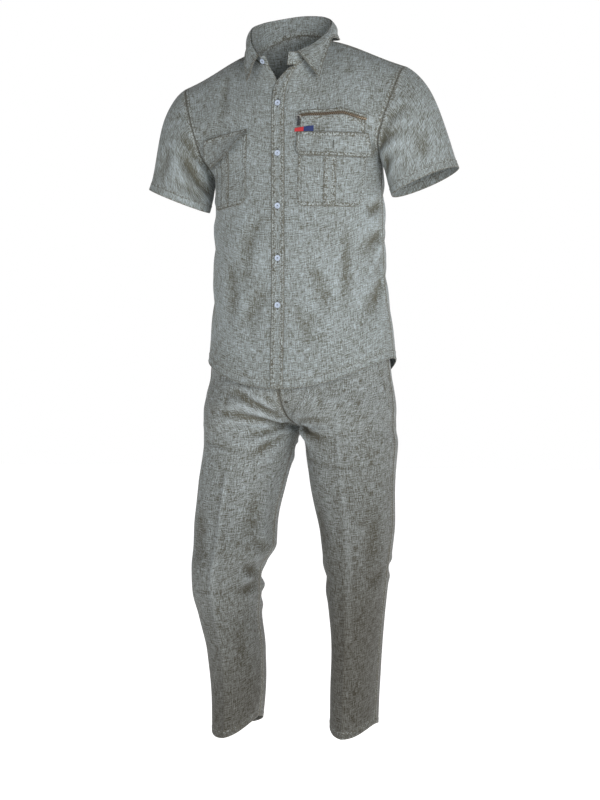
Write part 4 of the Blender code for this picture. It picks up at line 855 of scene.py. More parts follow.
@dataclass
class Shell:
    """A thin closed shell of cloth between two grids, with what its material needs.

    Attributes:
        name: the piece's name.
        outside: the outer face, columns by rows.
        inside: the inner face.
        band: 0 to 1, how near each place is to a sewn edge, and up to 2 on the very rim, where the material
            paints a dark line of shade.
        material: its finish.
        fold: how deep in a fold each place is, 1 at the bottom of a deep one; the material paints shade in
            creases from it, and painted highlight where it is below 0.
        normals: unit normals of the outer face, for what is sewn along its edges.
    """

    name: str
    outside: Array
    inside: Array
    band: Array
    material: bpy.types.Material
    fold: Array | None = None
    normals: Array | None = None

    def flat_size(self) -> tuple[float, float, float]:
        """Greatest width and length along the cloth, and its area, all of the outer face."""
        across = np.linalg.norm(np.diff(self.outside, axis=0), axis=-1).sum(axis=0).max()
        down = np.linalg.norm(np.diff(self.outside, axis=1), axis=-1).sum(axis=1).max()
        one = self.outside[1:, :-1] - self.outside[:-1, :-1]
        two = self.outside[:-1, 1:] - self.outside[:-1, :-1]
        three = self.outside[1:, 1:] - self.outside[1:, :-1]
        four = self.outside[1:, 1:] - self.outside[:-1, 1:]
        area = sum(np.linalg.norm(part, axis=-1).sum() for part in (np.cross(one, two), np.cross(three, four)))
        return float(across), float(down), float(area / 2)

    def weave_map(self) -> Array:
        """Metres across and up the cloth at each point, measured from its middle column and row."""
        over, down = run_along(self.outside), run_along(self.outside, 1)
        return np.stack([over - over[len(over) // 2], down], axis=-1)

    def build(self) -> bpy.types.Object:
        """The shell as one closed mesh, normals outwards, with its weave map and band attribute."""
        columns, rows = self.outside.shape[:2]
        turned = ((self.outside - self.inside) * facing_of(self.outside)).sum() < 0
        number = np.arange(columns * rows).reshape(columns, rows)
        back = number + columns * rows

        def quads(a: Array, b: Array, c: Array, d: Array) -> Array:
            return np.stack([a.ravel(), b.ravel(), c.ravel(), d.ravel()], axis=-1)

        faces = np.concatenate([
            quads(number[:-1, :-1], number[1:, :-1], number[1:, 1:], number[:-1, 1:]),
            quads(back[:-1, :-1], back[:-1, 1:], back[1:, 1:], back[1:, :-1]),
            quads(number[:-1, 0], back[:-1, 0], back[1:, 0], number[1:, 0]),
            quads(number[:-1, -1], number[1:, -1], back[1:, -1], back[:-1, -1]),
            quads(number[0, :-1], number[0, 1:], back[0, 1:], back[0, :-1]),
            quads(number[-1, :-1], back[-1, :-1], back[-1, 1:], number[-1, 1:]),
        ])
        if turned:
            faces = faces[:, ::-1]
        vertices = np.concatenate([self.outside.reshape(-1, 3), self.inside.reshape(-1, 3)])
        made = mesh_piece(self.name, vertices, faces, self.material)
        weave = np.tile(self.weave_map().reshape(-1, 2), (2, 1))
        layer = made.data.uv_layers.new(name="weave")
        layer.data.foreach_set("uv", weave[faces.ravel()].astype(np.float32).ravel())
        fold = np.zeros_like(self.band) if self.fold is None else self.fold
        for word, values in (("band", self.band), ("fold", fold)):
            layer = made.data.attributes.new(word, "FLOAT", "POINT")
            layer.data.foreach_set("value", np.tile(values.ravel(), 2).astype(np.float32))
        return made


def mesh_piece(name: str, vertices: Array, faces: Array, material: bpy.types.Material,
               sharp: float = 50.0) -> bpy.types.Object:
    """An object from vertices and faces that all have the same number of corners, shaded smooth."""
    mesh = bpy.data.meshes.new(name)
    corners = faces.shape[1]
    mesh.vertices.add(len(vertices))
    mesh.vertices.foreach_set("co", np.ascontiguousarray(vertices, np.float32).ravel())
    mesh.loops.add(faces.size)
    mesh.loops.foreach_set("vertex_index", np.ascontiguousarray(faces, np.int32).ravel())
    mesh.polygons.add(len(faces))
    mesh.polygons.foreach_set("loop_start", np.arange(0, faces.size, corners, dtype=np.int32))
    mesh.polygons.foreach_set("use_smooth", np.ones(len(faces), bool))
    mesh.update(calc_edges=True)
    mesh.set_sharp_from_angle(angle=math.radians(sharp))
    mesh.materials.append(material)
    made = bpy.data.objects.new(name, mesh)
    bpy.context.scene.collection.objects.link(made)
    return made


def inset(grid: Array, normals: Array, edge: str, distance: float) -> tuple[Array, Array]:
    """A line on a grid that runs this far along the cloth from one of its edges.

    Args:
        grid: points, columns by rows.
        normals: unit normals at them.
        edge: first, last, low or high.
        distance: metres from that edge.

    Returns:
        The line's points and its normals.
    """
    if edge in ("first", "last"):
        grid = grid.transpose(1, 0, 2)
        normals = normals.transpose(1, 0, 2)
    if edge in ("last", "high"):
        grid = grid[:, ::-1]
        normals = normals[:, ::-1]
    room = run_along(grid, 1)
    after = np.clip((room < distance).sum(axis=1), 1, grid.shape[1] - 1)
    row = np.arange(len(grid))
    low = room[row, after - 1]
    part = np.clip((distance - low) / np.maximum(room[row, after] - low, 1e-9), 0, 1)[:, None]
    line = grid[row, after - 1] * (1 - part) + grid[row, after] * part
    return line, unit(normals[row, after - 1] * (1 - part) + normals[row, after] * part)


def shifted(line: Array, distance: float) -> Array:
    """A flat line of x and z moved sideways to its left by a distance, its corners smoothed."""
    way = np.gradient(line, axis=0)
    for _ in range(4):
        way[1:-1] = (way[:-2] + 2 * way[1:-1] + way[2:]) / 4
    way = unit(way)
    return line + np.stack([-way[:, 1], way[:, 0]], axis=-1) * distance


class Stitching:
    """Gathers rows of stitches and makes one piece of them.

    A stitch is a spindle of four sides whose ends dip into the cloth.
    """

    def __init__(self) -> None:
        """Starts with no stitches."""
        self.starts: list[Array] = []
        self.ends: list[Array] = []
        self.ups: list[Array] = []
        self.radii: list[Array] = []

    def row(self, line: Array, normals: Array) -> None:
        """A row of stitches along a line of points with normals."""
        run = run_along(line)
        count = int(run[-1] / STITCH_PITCH)
        if count < 1:
            return
        begin = (np.arange(count) + 0.5 * (1 - STITCH_LENGTH / STITCH_PITCH)) * run[-1] / count
        first, last, up = (
            np.stack([np.interp(at, run, spots[:, axis]) for axis in range(3)], axis=-1)
            for at, spots in ((begin, line), (begin + STITCH_LENGTH, line),
                              (begin + STITCH_LENGTH / 2, normals))
        )
        self.between(first, last, unit(up), STITCH_RADIUS)

    def edge(self, shell: Shell, edge: str, rows: tuple[float, ...], span: slice = slice(None)) -> None:
        """Rows along an edge of a shell, each so many metres in from it, over a span of its points."""
        for away in rows:
            line, ups = inset(shell.outside, shell.normals, edge, away)
            self.row(line[span], ups[span])

    def between(self, starts: Array, ends: Array, ups: Array, radius: float) -> None:
        """One stitch from each start to each end."""
        self.starts.append(starts)
        self.ends.append(ends)
        self.ups.append(ups)
        self.radii.append(np.full(len(starts), radius))

    def buttonhole(self, middle: Array, axis: Array, way: Array) -> None:
        """Dense crosswise stitches on both lips of a slit and a bar at each end."""
        way = unit(way)
        side = unit(np.cross(axis, way))
        half = BUTTONHOLE / 2
        spots = np.linspace(-half, half, int(BUTTONHOLE / BUTTONHOLE_PITCH) + 1)[:, None]
        for sign in (-1, 1):
            near = middle + way * spots + side * 0.00025 * sign
            far = middle + way * spots + side * 0.0017 * sign
            self.between(near, far, np.tile(axis, (len(spots), 1)), BUTTONHOLE_THREAD)
            shift = np.linspace(0, 0.0012, 3)[:, None] * sign
            start = middle + way * (half * sign + shift) - side * 0.0018
            self.between(start, start + side * 0.0036, np.tile(axis, (3, 1)), BUTTONHOLE_THREAD)

    def piece(self, name: str, material: bpy.types.Material) -> bpy.types.Object:
        """All the stitches as one mesh: tips 0.25 mm in the cloth, waists half out of it."""
        start = np.concatenate(self.starts)
        end = np.concatenate(self.ends)
        up = np.concatenate(self.ups)
        radius = np.concatenate(self.radii)[:, None]
        way = unit(end - start)
        side = unit(np.cross(up, way))
        up = np.cross(way, side)
        rings = [start - up * 0.00025]
        for share in (0.2, 0.8):
            middle = start * (1 - share) + end * share + up * radius * 0.55
            rings.extend(middle + out * radius for out in (side, up, -side, -up))
        rings.append(end - up * 0.00025)
        vertices = np.stack(rings, axis=1)
        tips = [(0, 1 + (k + 1) % 4, 1 + k, 1 + k) for k in range(4)]
        walls = [(1 + k, 1 + (k + 1) % 4, 5 + (k + 1) % 4, 5 + k) for k in range(4)]
        caps = [(9, 5 + k, 5 + (k + 1) % 4, 5 + (k + 1) % 4) for k in range(4)]
        triangles = []
        for face in tips + caps:
            triangles.append(face[:3])
        for a, b, c, d in walls:
            triangles.extend([(a, b, c), (a, c, d)])
        template = np.array(triangles)
        faces = (template[None] + (np.arange(len(vertices)) * 10)[:, None, None]).reshape(-1, 3)
        return mesh_piece(name, vertices.reshape(-1, 3), faces, material, sharp=80.0)


# Finishes


class Recipe:
    """The nodes of a material or of the world, put together in short calls."""

    def __init__(self, tree: bpy.types.NodeTree) -> None:
        """Keeps the tree."""
        self.tree = tree

    def put(self, node: bpy.types.Node, inputs: dict) -> None:
        """Sets each input, by name or number, to a value or links it to a socket."""
        for key, value in inputs.items():
            if isinstance(value, bpy.types.NodeSocket):
                self.tree.links.new(value, node.inputs[key])
            else:
                node.inputs[key].default_value = value

    def add(self, kind: str, inputs: dict, **settings: object) -> bpy.types.Node:
        """A node with its settings and inputs."""
        node = self.tree.nodes.new(kind)
        for key, value in settings.items():
            setattr(node, key, value)
        self.put(node, inputs)
        return node

    def noise(self, vector: bpy.types.NodeSocket, scale: float, detail: float = 2.0,
              rough: float = 0.5) -> bpy.types.NodeSocket:
        """A noise from about 0.2 to 0.8."""
        inputs = {"Vector": vector, "Scale": scale, "Detail": detail, "Roughness": rough}
        return self.add("ShaderNodeTexNoise", inputs).outputs["Fac"]

    def math(self, operation: str, *values: object) -> bpy.types.NodeSocket:
        """One sum of numbers or sockets."""
        return self.add("ShaderNodeMath", dict(enumerate(values)), operation=operation).outputs[0]

    def scaled(self, vector: bpy.types.NodeSocket, factors: tuple[float, float, float]) -> bpy.types.NodeSocket:
        """A vector times factors."""
        return self.add("ShaderNodeVectorMath", {0: vector, 1: factors}, operation="MULTIPLY").outputs[0]

    def remap(self, value: bpy.types.NodeSocket, low: float, high: float, to_low: float,
              to_high: float) -> bpy.types.NodeSocket:
        """A value between low and high, moved to lie between two others and held there."""
        node = self.add("ShaderNodeMapRange", {0: value, 1: low, 2: high, 3: to_low, 4: to_high}, clamp=True)
        return node.outputs[0]

    def mix(self, factor: object, first: object, second: object, blend: str = "MIX") -> bpy.types.NodeSocket:
        """Two colours mixed by a factor."""
        node = self.add("ShaderNodeMix", {0: factor, 6: first, 7: second}, data_type="RGBA", blend_type=blend)
        return node.outputs[2]

    def shade(self, inputs: dict) -> None:
        """Sets the Principled shader's inputs."""
        self.put(self.tree.nodes["Principled BSDF"], inputs)


def new_material(name: str) -> tuple[bpy.types.Material, Recipe]:
    """A material with a Principled shader, and the recipe of its nodes."""
    material = bpy.data.materials.new(name)
    material.use_nodes = True
    return material, Recipe(material.node_tree)


@dataclass(frozen=True)
class ClothFinish:
    """Stonewashed cotton: fine crossing slubs, faded patches, beaded sewn bands, painted shade on rims and in
    creases.

    Attributes:
        name: the material's name.
        colour: its middle colour, linear.
        low_colour: its colour near the ankles.
        contrast: how strong the slubs are.
        lean: how much further down the blend to the darker low colour reaches for each metre to the wearer's
            right.
    """

    name: str
    colour: tuple[float, float, float]
    low_colour: tuple[float, float, float]
    contrast: float = 1.0
    lean: float = 0.0

    def material(self) -> bpy.types.Material:
        """The material, from the weave map, two attributes and Object coordinates."""
        material, recipe = new_material(self.name)
        weave = recipe.add("ShaderNodeUVMap", {}, uv_map="weave").outputs[0]
        place = recipe.add("ShaderNodeTexCoord", {}).outputs["Object"]
        band = recipe.add("ShaderNodeAttribute", {}, attribute_name="band").outputs["Fac"]
        warp = recipe.noise(recipe.scaled(weave, (480, 60, 1)), 1.0, 2.0, 0.6)
        weft = recipe.noise(recipe.scaled(weave, (60, 480, 1)), 1.0, 2.0, 0.6)
        fleck = recipe.noise(recipe.scaled(weave, (400, 400, 1)), 1.0, 2.0, 0.7)
        patch = recipe.noise(place, 9.0, 5.0, 0.62)
        cloud = recipe.noise(place, 34.0, 4.0, 0.65)
        slubs = recipe.math("SUBTRACT", recipe.math("ADD", warp, weft), 1.0)
        slubs = recipe.math("MULTIPLY_ADD", recipe.math("SUBTRACT", fleck, 0.5), 0.9, slubs)
        tone = recipe.math("MULTIPLY", slubs, 1.9 * self.contrast)
        # Painted shade: darker deep in a crease, and painted highlight where a crease's shoulder stands out
        # (fold below 0).
        fold = recipe.add("ShaderNodeAttribute", {}, attribute_name="fold").outputs["Fac"]
        tone = recipe.math("MULTIPLY_ADD", fold, -0.52, tone)
        tone = recipe.math("MULTIPLY_ADD", recipe.math("SUBTRACT", patch, 0.5), 0.42, tone)
        tone = recipe.math("MULTIPLY_ADD", recipe.math("SUBTRACT", cloud, 0.5), 0.36, tone)
        tone = recipe.math("MAXIMUM", tone, -0.62)
        tones = [recipe.math("MULTIPLY_ADD", tone, share, 1.0) for share in (0.92, 1.0, 1.14)]
        spot = recipe.add("ShaderNodeSeparateXYZ", {0: place}).outputs
        height = recipe.math("MULTIPLY_ADD", spot[0], -self.lean, spot[2])
        low = recipe.remap(height, -0.8, -1.3, 0.0, 1.0)
        base = recipe.mix(low, (*self.colour, 1), (*self.low_colour, 1))
        tint = recipe.add("ShaderNodeCombineColor", dict(enumerate(tones))).outputs[0]
        base = recipe.mix(1.0, base, tint, "MULTIPLY")
        # Painted shade: a dark line along every piece's very rim, where band rises above 1.
        rim = recipe.remap(band, 1.0, 2.0, 0.0, 0.62)
        band = recipe.math("MINIMUM", band, 1.0)
        beads = recipe.noise(place, 330.0, 1.0, 0.4)
        light = recipe.math("MULTIPLY", band, recipe.remap(beads, 0.5, 0.64, 0.0, 0.62))
        dark = recipe.math("MULTIPLY", band, recipe.remap(beads, 0.53, 0.36, 0.0, 0.9))
        base = recipe.mix(light, base, tuple(min(1.0, 1.8 * value) for value in self.colour) + (1,))
        # Darker, browner colour for the dark beads of a sewn band and for the painted rim shade.
        dark_bead_and_rim_shade = (self.colour[0] * 0.5, self.colour[1] * 0.42, self.colour[2] * 0.32, 1)
        base = recipe.mix(rim, recipe.mix(dark, base, dark_bead_and_rim_shade), dark_bead_and_rim_shade)
        crumple = recipe.noise(place, 60.0, 4.0, 0.6)
        relief = recipe.math("MULTIPLY", slubs, 0.0003)
        relief = recipe.math("MULTIPLY_ADD", recipe.math("MULTIPLY", band, beads), 0.0012, relief)
        relief = recipe.math("MULTIPLY_ADD", crumple, 0.0014, relief)
        bump = recipe.add("ShaderNodeBump", {"Height": relief, "Strength": 0.8, "Distance": 1.0}).outputs[0]
        recipe.shade({"Base Color": base, "Normal": bump, "Roughness": 0.92, "Sheen Weight": 0.12,
                      "Sheen Roughness": 0.45, "Specular IOR Level": 0.25})
        return material


@dataclass(frozen=True)
class PlainFinish:
    """One colour with a slight unevenness.

    Attributes:
        name: the material's name.
        colour: linear colour.
        rough: how rough it is.
        metal: 1 for bare metal.
        uneven: how much its tone varies.
        scale: how fine the unevenness is, per metre.
        glow: its own light, for a lit studio floor.
    """

    name: str
    colour: tuple[float, float, float]
    rough: float
    metal: float = 0.0
    uneven: float = 0.2
    scale: float = 900.0
    glow: float = 0.0

    def material(self) -> bpy.types.Material:
        """The material, its tone from Object coordinates."""
        material, recipe = new_material(self.name)
        place = recipe.add("ShaderNodeTexCoord", {}).outputs["Object"]
        grain = recipe.math("SUBTRACT", recipe.noise(place, self.scale, 2.0), 0.5)
        tone = recipe.math("MULTIPLY_ADD", grain, self.uneven, 1.0)
        tones = recipe.add("ShaderNodeCombineColor", {0: tone, 1: tone, 2: tone}).outputs[0]
        base = recipe.mix(1.0, (*self.colour, 1), tones, "MULTIPLY")
        recipe.shade({"Base Color": base, "Roughness": self.rough, "Metallic": self.metal,
                      "Emission Color": (1, 1, 1, 1), "Emission Strength": self.glow})
        return material


SHIRT_CLOTH = ClothFinish("washed_shirt_cotton", (0.191, 0.21, 0.206), (0.191, 0.21, 0.206), 1.25)
TROUSER_CLOTH = ClothFinish("washed_trouser_cotton", (0.171, 0.184, 0.178), (0.069, 0.067, 0.058), 1.5, 0.65)
THREAD = PlainFinish("olive_thread", (0.052, 0.049, 0.038), 0.85, uneven=0.6)
BUTTON_PLASTIC = PlainFinish("pale_button_plastic", (0.38, 0.44, 0.54), 0.32, uneven=0.25, scale=300.0)
ZIP_BRASS = PlainFinish("zip_teeth_metal", (0.42, 0.36, 0.26), 0.34, 1.0)
ZIP_STEEL = PlainFinish("slider_metal", (0.5, 0.49, 0.46), 0.3, 1.0)
PULL_BLACK = PlainFinish("pull_lacquer", (0.02, 0.02, 0.022), 0.38, uneven=0.4)
TAPE_BROWN = PlainFinish("brown_tape", (0.075, 0.052, 0.036), 0.9, uneven=0.5, scale=700.0)
LABEL_NAVY = PlainFinish("label_navy", (0.012, 0.024, 0.105), 0.8, uneven=0.5, scale=700.0)
LABEL_RED = PlainFinish("label_red", (0.4, 0.022, 0.028), 0.8, uneven=0.5, scale=700.0)


# Sizes of what lies on the cloth

STITCH_ROWS = (0.0018, 0.008)
ALL_EDGES = ("first", "last", "low", "high")
EDGE_STEPS = (0.0, 0.0004, 0.0009, 0.0014, 0.0019, 0.0025, 0.0033, 0.0043, 0.0055, 0.0067, 0.0075, 0.0081,
              0.0088, 0.0099)
HEM_LIFT = 0.0004
# Width of the very rim that gets the painted dark line of shade
EDGE_SHADE_WIDTH = 0.0024
# Crease depth at which the painted crease shade is full
FOLD_SHADE_DEPTH = 0.0042
LEAST_CUT = 0.01
PATCH_LIFT = 0.0002
PATCH_THICK = 0.0012
FLAP_THICK = 0.0014
PUCKER = 0.00032
SHIRT_HEM = 0.018
SHIRT_HEM_ROWS = (0.003, SHIRT_HEM - 0.0015)
SLEEVE_HEM = 0.016
TROUSER_HEM = 0.012

PLACKET_BOTTOM = -0.7262
PLACKET_TOP = -0.06885
PLACKET_LIFT = 0.0011
PLACKET_ROW = 0.0055
BUTTON_GAP = 0.0004
SHIRT_BUTTON_Z = (-0.144, -0.248, -0.356, -0.462, -0.557)
BUTTON_RADIUS = 0.006
BUTTON_THICK = 0.0022
WAISTBAND_TOP = -0.533
WAISTBAND_BOTTOM = -0.573


@dataclass(frozen=True)
class PocketCut:
    """A chest pocket with its pleat and flap, as x and z on the front.

    Attributes:
        near: x of the side nearest the placket.
        far: x of the other side at the bottom.
        top_far: x of the other side at the top.
        bottom: z of the bottom on the near side.
        top: z of the top on the near side.
        slope: how far the bottom slopes across, metres a metre.
        top_slope: the same for the top.
        pleat: x of the two edges of the pleat.
        flap_near: x and z of the flap's near end.
        flap_far: x and z of the flap's far end.
        flap_table: how far across, length, how far the lower edge stands off.
    """

    near: float
    far: float
    top_far: float
    bottom: float
    top: float
    slope: float
    top_slope: float
    pleat: tuple[float, float]
    flap_near: tuple[float, float]
    flap_far: tuple[float, float]
    flap_table: tuple[tuple[float, float, float], ...]


POCKETS = {
    Side.LEFT: PocketCut(
        0.0385, 0.156, 0.168, -0.358, -0.176, -0.012, 0.0, (0.09, 0.113),
        (0.0345, -0.206), (0.172, -0.2085),
        ((0.0, 0.033, 0.001), (0.012, 0.04, 0.0011), (0.03, 0.0438, 0.0012), (0.06, 0.047, 0.0014),
         (0.11, 0.049, 0.0016), (0.25, 0.0495, 0.002), (0.5, 0.0495, 0.002), (0.75, 0.0495, 0.002),
         (0.89, 0.049, 0.0016), (0.94, 0.047, 0.0014), (0.97, 0.0438, 0.0012), (0.988, 0.04, 0.0011),
         (1.0, 0.033, 0.001)),
    ),
    Side.RIGHT: PocketCut(
        -0.0765, -0.164, -0.168, -0.348, -0.205, -0.12, -0.12, (-0.12, -0.142),
        (-0.076, -0.1945), (-0.185, -0.211),
        ((0.0, 0.008, 0.006), (0.08, 0.017, 0.009), (0.2, 0.031, 0.012), (0.35, 0.043, 0.013),
         (0.5, 0.05, 0.012), (0.7, 0.056, 0.009), (0.85, 0.056, 0.006), (0.95, 0.052, 0.004),
         (1.0, 0.047, 0.003)),
    ),
}
POCKET_CORNER = 0.016

# Middle of the zip's opening along the top of the left pocket: x, z
ZIP_LINE = np.array([
    (0.0345, -0.1745), (0.041, -0.1712), (0.054, -0.1697), (0.068, -0.1692), (0.0875, -0.1688),
    (0.105, -0.1678), (0.122, -0.167), (0.14, -0.1718), (0.159, -0.1785), (0.17, -0.1815),
])
ZIP_TAPE_WIDTH = 0.005
LIP_WIDTH = 0.0066
TOOTH_PITCH = 0.0021
# Label, both ends: x, z of its lower edge, z of its upper edge
LABEL_NEAR = (0.0293, -0.2055, -0.1985)
LABEL_FAR = (0.068, -0.2058, -0.1935)
LABEL_RED_SHARE = 0.49

HIP_POCKET_LOW = (0.955, -0.768)
HIP_POCKET_HIGH = (0.7, -0.6)
HIP_POCKET_SPAN = 0.03
FLY_TOP = -0.58
FLY_FOOT = -0.795

SHIRT_FRONT_CREASES = {
    Side.LEFT: folds(
        ((0.547, 0.984), (0.565, 0.95), (0.607, 0.911), 5, 1.8, 0.6),
        ((0.52, 0.5), (0.49, 0.35), (0.439, 0.175), 7.5, 2.2, 0.2),
        ((0.962, 0.562), (0.8, 0.54), (0.655, 0.548), 8, 3.4, 0.6),
        ((0.97, 0.48), (0.8, 0.455), (0.66, 0.4), 10, 3.6, 0.5),
        ((0.96, 0.34), (0.8, 0.27), (0.62, 0.18), 11, 3, 0.5),
        ((0.96, 0.42), (0.87, 0.36), (0.76, 0.33), 6, 2, 0.3),
        ((0.96, 0.72), (0.9, 0.69), (0.82, 0.69), 7, 2.8, 0.5),
        ((0.18, 0.42), (0.3, 0.33), (0.33, 0.18), 12, 1.8, 0.0),
        ((0.3, 0.7), (0.36, 0.78), (0.38, 0.86), 10, 1.4, 0.0),
        ((0.06, 0.3), (0.16, 0.24), (0.26, 0.1), 12, 1.6, 0.2),
    ),
    Side.RIGHT: folds(
        ((0.97, 0.5), (0.84, 0.46), (0.7, 0.4), 10.5, 4, 0.6),
        ((0.96, 0.34), (0.82, 0.26), (0.66, 0.16), 11.5, 3.4, 0.5),
        ((0.96, 0.59), (0.84, 0.56), (0.74, 0.57), 8, 3, 0.5),
        ((0.96, 0.42), (0.88, 0.35), (0.8, 0.32), 6, 2, 0.2),
        ((0.42, 0.44), (0.38, 0.3), (0.4, 0.15), 11, 2, 0.1),
        ((0.12, 0.56), (0.24, 0.45), (0.3, 0.3), 12, 1.8, 0.0),
        ((0.56, 0.96), (0.6, 0.88), (0.62, 0.8), 7, 1.8, 0.4),
        ((0.94, 0.72), (0.86, 0.7), (0.78, 0.715), 7, 2.6, 0.4),
        ((0.08, 0.35), (0.2, 0.26), (0.26, 0.13), 12, 1.4, 0.1),
    ),
}
SHIRT_BACK_CREASES = folds(
    ((0.03, 0.6), (0.15, 0.56), (0.3, 0.5), 11.5, 4.2, 0.5),
    ((0.97, 0.6), (0.85, 0.55), (0.7, 0.5), 11.5, 4.2, 0.5),
    ((0.03, 0.36), (0.18, 0.3), (0.3, 0.22), 11, 3.4, 0.4),
    ((0.97, 0.37), (0.83, 0.29), (0.69, 0.22), 11, 3.4, 0.4),
    ((0.03, 0.47), (0.11, 0.43), (0.18, 0.43), 7, 2.6, 0.4),
    ((0.97, 0.48), (0.9, 0.44), (0.84, 0.43), 7, 2.4, 0.4),
    ((0.4, 0.56), (0.42, 0.36), (0.39, 0.17), 14, 2.2, 0.0),
    ((0.61, 0.52), (0.59, 0.35), (0.62, 0.14), 14, 2.2, 0.0),
    ((0.12, 0.86), (0.23, 0.79), (0.33, 0.78), 10, 2.6, 0.3),
    ((0.88, 0.86), (0.77, 0.8), (0.68, 0.78), 10, 2.6, 0.3),
    ((0.33, 0.23), (0.5, 0.2), (0.68, 0.24), 12, 1.8, 0.0),
)
SLEEVE_CREASES = {
    Side.LEFT: folds(
        ((0.1, 0.06), (0.19, 0.2), (0.29, 0.38), 8.5, 4.6, 0.6),
        ((0.06, 0.52), (0.12, 0.44), (0.18, 0.35), 8, 3.2, 0.3),
        ((0.15, 0.05), (0.26, 0.14), (0.37, 0.26), 7, 2.6, 0.5),
        ((0.35, 0.45), (0.33, 0.65), (0.3, 0.86), 9, 1.8, 0.0),
        ((0.88, 0.06), (0.8, 0.22), (0.7, 0.4), 9, 4, 0.6),
        ((0.94, 0.5), (0.86, 0.44), (0.78, 0.42), 8, 2.8, 0.3),
        ((0.62, 0.5), (0.64, 0.7), (0.66, 0.86), 9, 1.6, 0.0),
    ),
    Side.RIGHT: folds(
        ((0.04, 0.5), (0.17, 0.37), (0.3, 0.22), 9, 4.4, 0.5),
        ((0.06, 0.72), (0.15, 0.67), (0.24, 0.62), 8.5, 3, 0.3),
        ((0.12, 0.06), (0.22, 0.13), (0.33, 0.24), 7.5, 3.2, 0.6),
        ((0.34, 0.42), (0.32, 0.64), (0.34, 0.86), 9, 1.8, 0.0),
        ((0.88, 0.07), (0.79, 0.22), (0.69, 0.38), 9, 4, 0.6),
        ((0.93, 0.52), (0.85, 0.47), (0.76, 0.45), 8, 2.6, 0.3),
    ),
}
TROUSER_CREASES = {
    (Side.RIGHT, Face.FRONT): folds(
        ((0.02, -0.7988), (0.124, -0.7984), (0.351, -0.7817), (0.594, -0.7676), 6, 5.2, 0.9),
        ((0.047, -0.7859), (0.27, -0.7388), (0.42, -0.729), 5.5, 4.4, 0.8),
        ((0.039, -0.7756), (0.07, -0.75), (0.115, -0.728), 4.5, 2.8, 0.7),
        ((0.022, -0.7776), (0.03, -0.75), (0.047, -0.726), 4, 2.2, 0.7),
        ((0.1, -0.8), (0.25, -0.814), (0.43, -0.825), 6, 4.2, 0.8),
        ((0.12, -0.82), (0.25, -0.842), (0.4, -0.88), 7.5, 3.2, 0.5),
        ((0.391, -0.7367), (0.41, -0.752), (0.424, -0.769), 4.5, 1.8, 0.3),
        ((0.742, -0.8361), (0.504, -0.8496), (0.232, -0.8554), 3.5, 1.4, 0.9),
        ((0.0, -1.1115), (0.1, -1.101), (0.23, -1.085), 8, 4.4, 0.8),
        ((0.0, -1.1219), (0.12, -1.133), (0.26, -1.145), 8, 4.2, 0.8),
        ((0.0, -1.07), (0.12, -1.05), (0.28, -1.033), 8.5, 2.8, 0.5),
        ((0.71, -1.141), (0.35, -1.142), (0.06, -1.141), 3, 1, 0.9),
        ((0.5, -0.9), (0.5, -1.05), (0.5, -1.25), (0.49, -1.42), 4.5, -1.4, 1.0),
        ((0.24, -0.93), (0.23, -0.99), (0.28, -1.04), 13, 2, 0.0),
        ((0.7, -0.95), (0.72, -1.04), (0.69, -1.13), 14, 2.4, 0.0),
        ((0.28, -1.2), (0.25, -1.27), (0.27, -1.33), 10, 1.6, 0.0),
    ),
    (Side.LEFT, Face.FRONT): folds(
        ((0.16, -0.798), (0.3, -0.822), (0.451, -0.846), 6, 3.8, 0.8),
        ((0.19, -0.805), (0.35, -0.82), (0.545, -0.832), 5.5, 3, 0.7),
        ((0.13, -0.793), (0.3, -0.79), (0.504, -0.7893), 5, 2.2, 0.5),
        ((0.274, -0.7268), (0.31, -0.755), (0.352, -0.7813), 4.5, 1.8, 0.5),
        ((0.05, -0.815), (0.16, -0.85), (0.24, -0.9), 8, 2.8, 0.5),
        ((0.203, -0.8697), (0.53, -0.8862), (0.704, -0.8842), (0.98, -0.8637), 3.2, 1.2, 0.9),
        ((0.393, -1.1548), (0.48, -1.15), (0.574, -1.1454), 3.2, 1.1, 0.9),
        ((0.492, -0.7832), (0.53, -0.8781), (0.56, -1.0721), (0.568, -1.2642), (0.631, -1.4287), 4.5, -1.6, 1.0),
        ((0.02, -1.1), (0.16, -1.115), (0.33, -1.118), 11, 2.6, 0.5),
        ((0.96, -1.09), (0.85, -1.115), (0.74, -1.125), 10, 2.4, 0.5),
        ((0.25, -0.93), (0.22, -1.02), (0.26, -1.09), 14, 2.2, 0.0),
        ((0.76, -0.96), (0.78, -1.05), (0.75, -1.15), 14, 2, 0.0),
    ),
    (Side.RIGHT, Face.BACK): folds(
        ((0.1, -0.815), (0.3, -0.795), (0.6, -0.775), 9.5, 5, 0.7),
        ((0.09, -0.845), (0.3, -0.862), (0.55, -0.88), 10, 4, 0.6),
        ((0.06, -0.825), (0.2, -0.83), (0.38, -0.825), 6, 3, 0.6),
        ((0.05, -1.115), (0.4, -1.105), (0.8, -1.09), 10, 5, 0.5),
        ((0.08, -1.155), (0.4, -1.16), (0.85, -1.145), 9.5, 4, 0.5),
        ((0.96, -1.12), (0.8, -1.125), (0.6, -1.13), 7, 2.8, 0.5),
        ((0.5, -0.91), (0.5, -1.1), (0.5, -1.42), 4.5, -1.3, 1.0),
    ),
    (Side.LEFT, Face.BACK): folds(
        ((0.1, -0.815), (0.3, -0.8), (0.6, -0.78), 9.5, 5, 0.7),
        ((0.09, -0.845), (0.28, -0.865), (0.5, -0.885), 10, 4, 0.6),
        ((0.06, -0.828), (0.2, -0.833), (0.4, -0.832), 6, 2.8, 0.6),
        ((0.04, -1.1), (0.4, -1.118), (0.8, -1.13), 10.5, 4.4, 0.5),
        ((0.96, -1.09), (0.76, -1.1), (0.56, -1.098), 8, 3.2, 0.5),
        ((0.5, -0.91), (0.5, -1.1), (0.5, -1.42), 4.5, -1.3, 1.0),
    ),
}


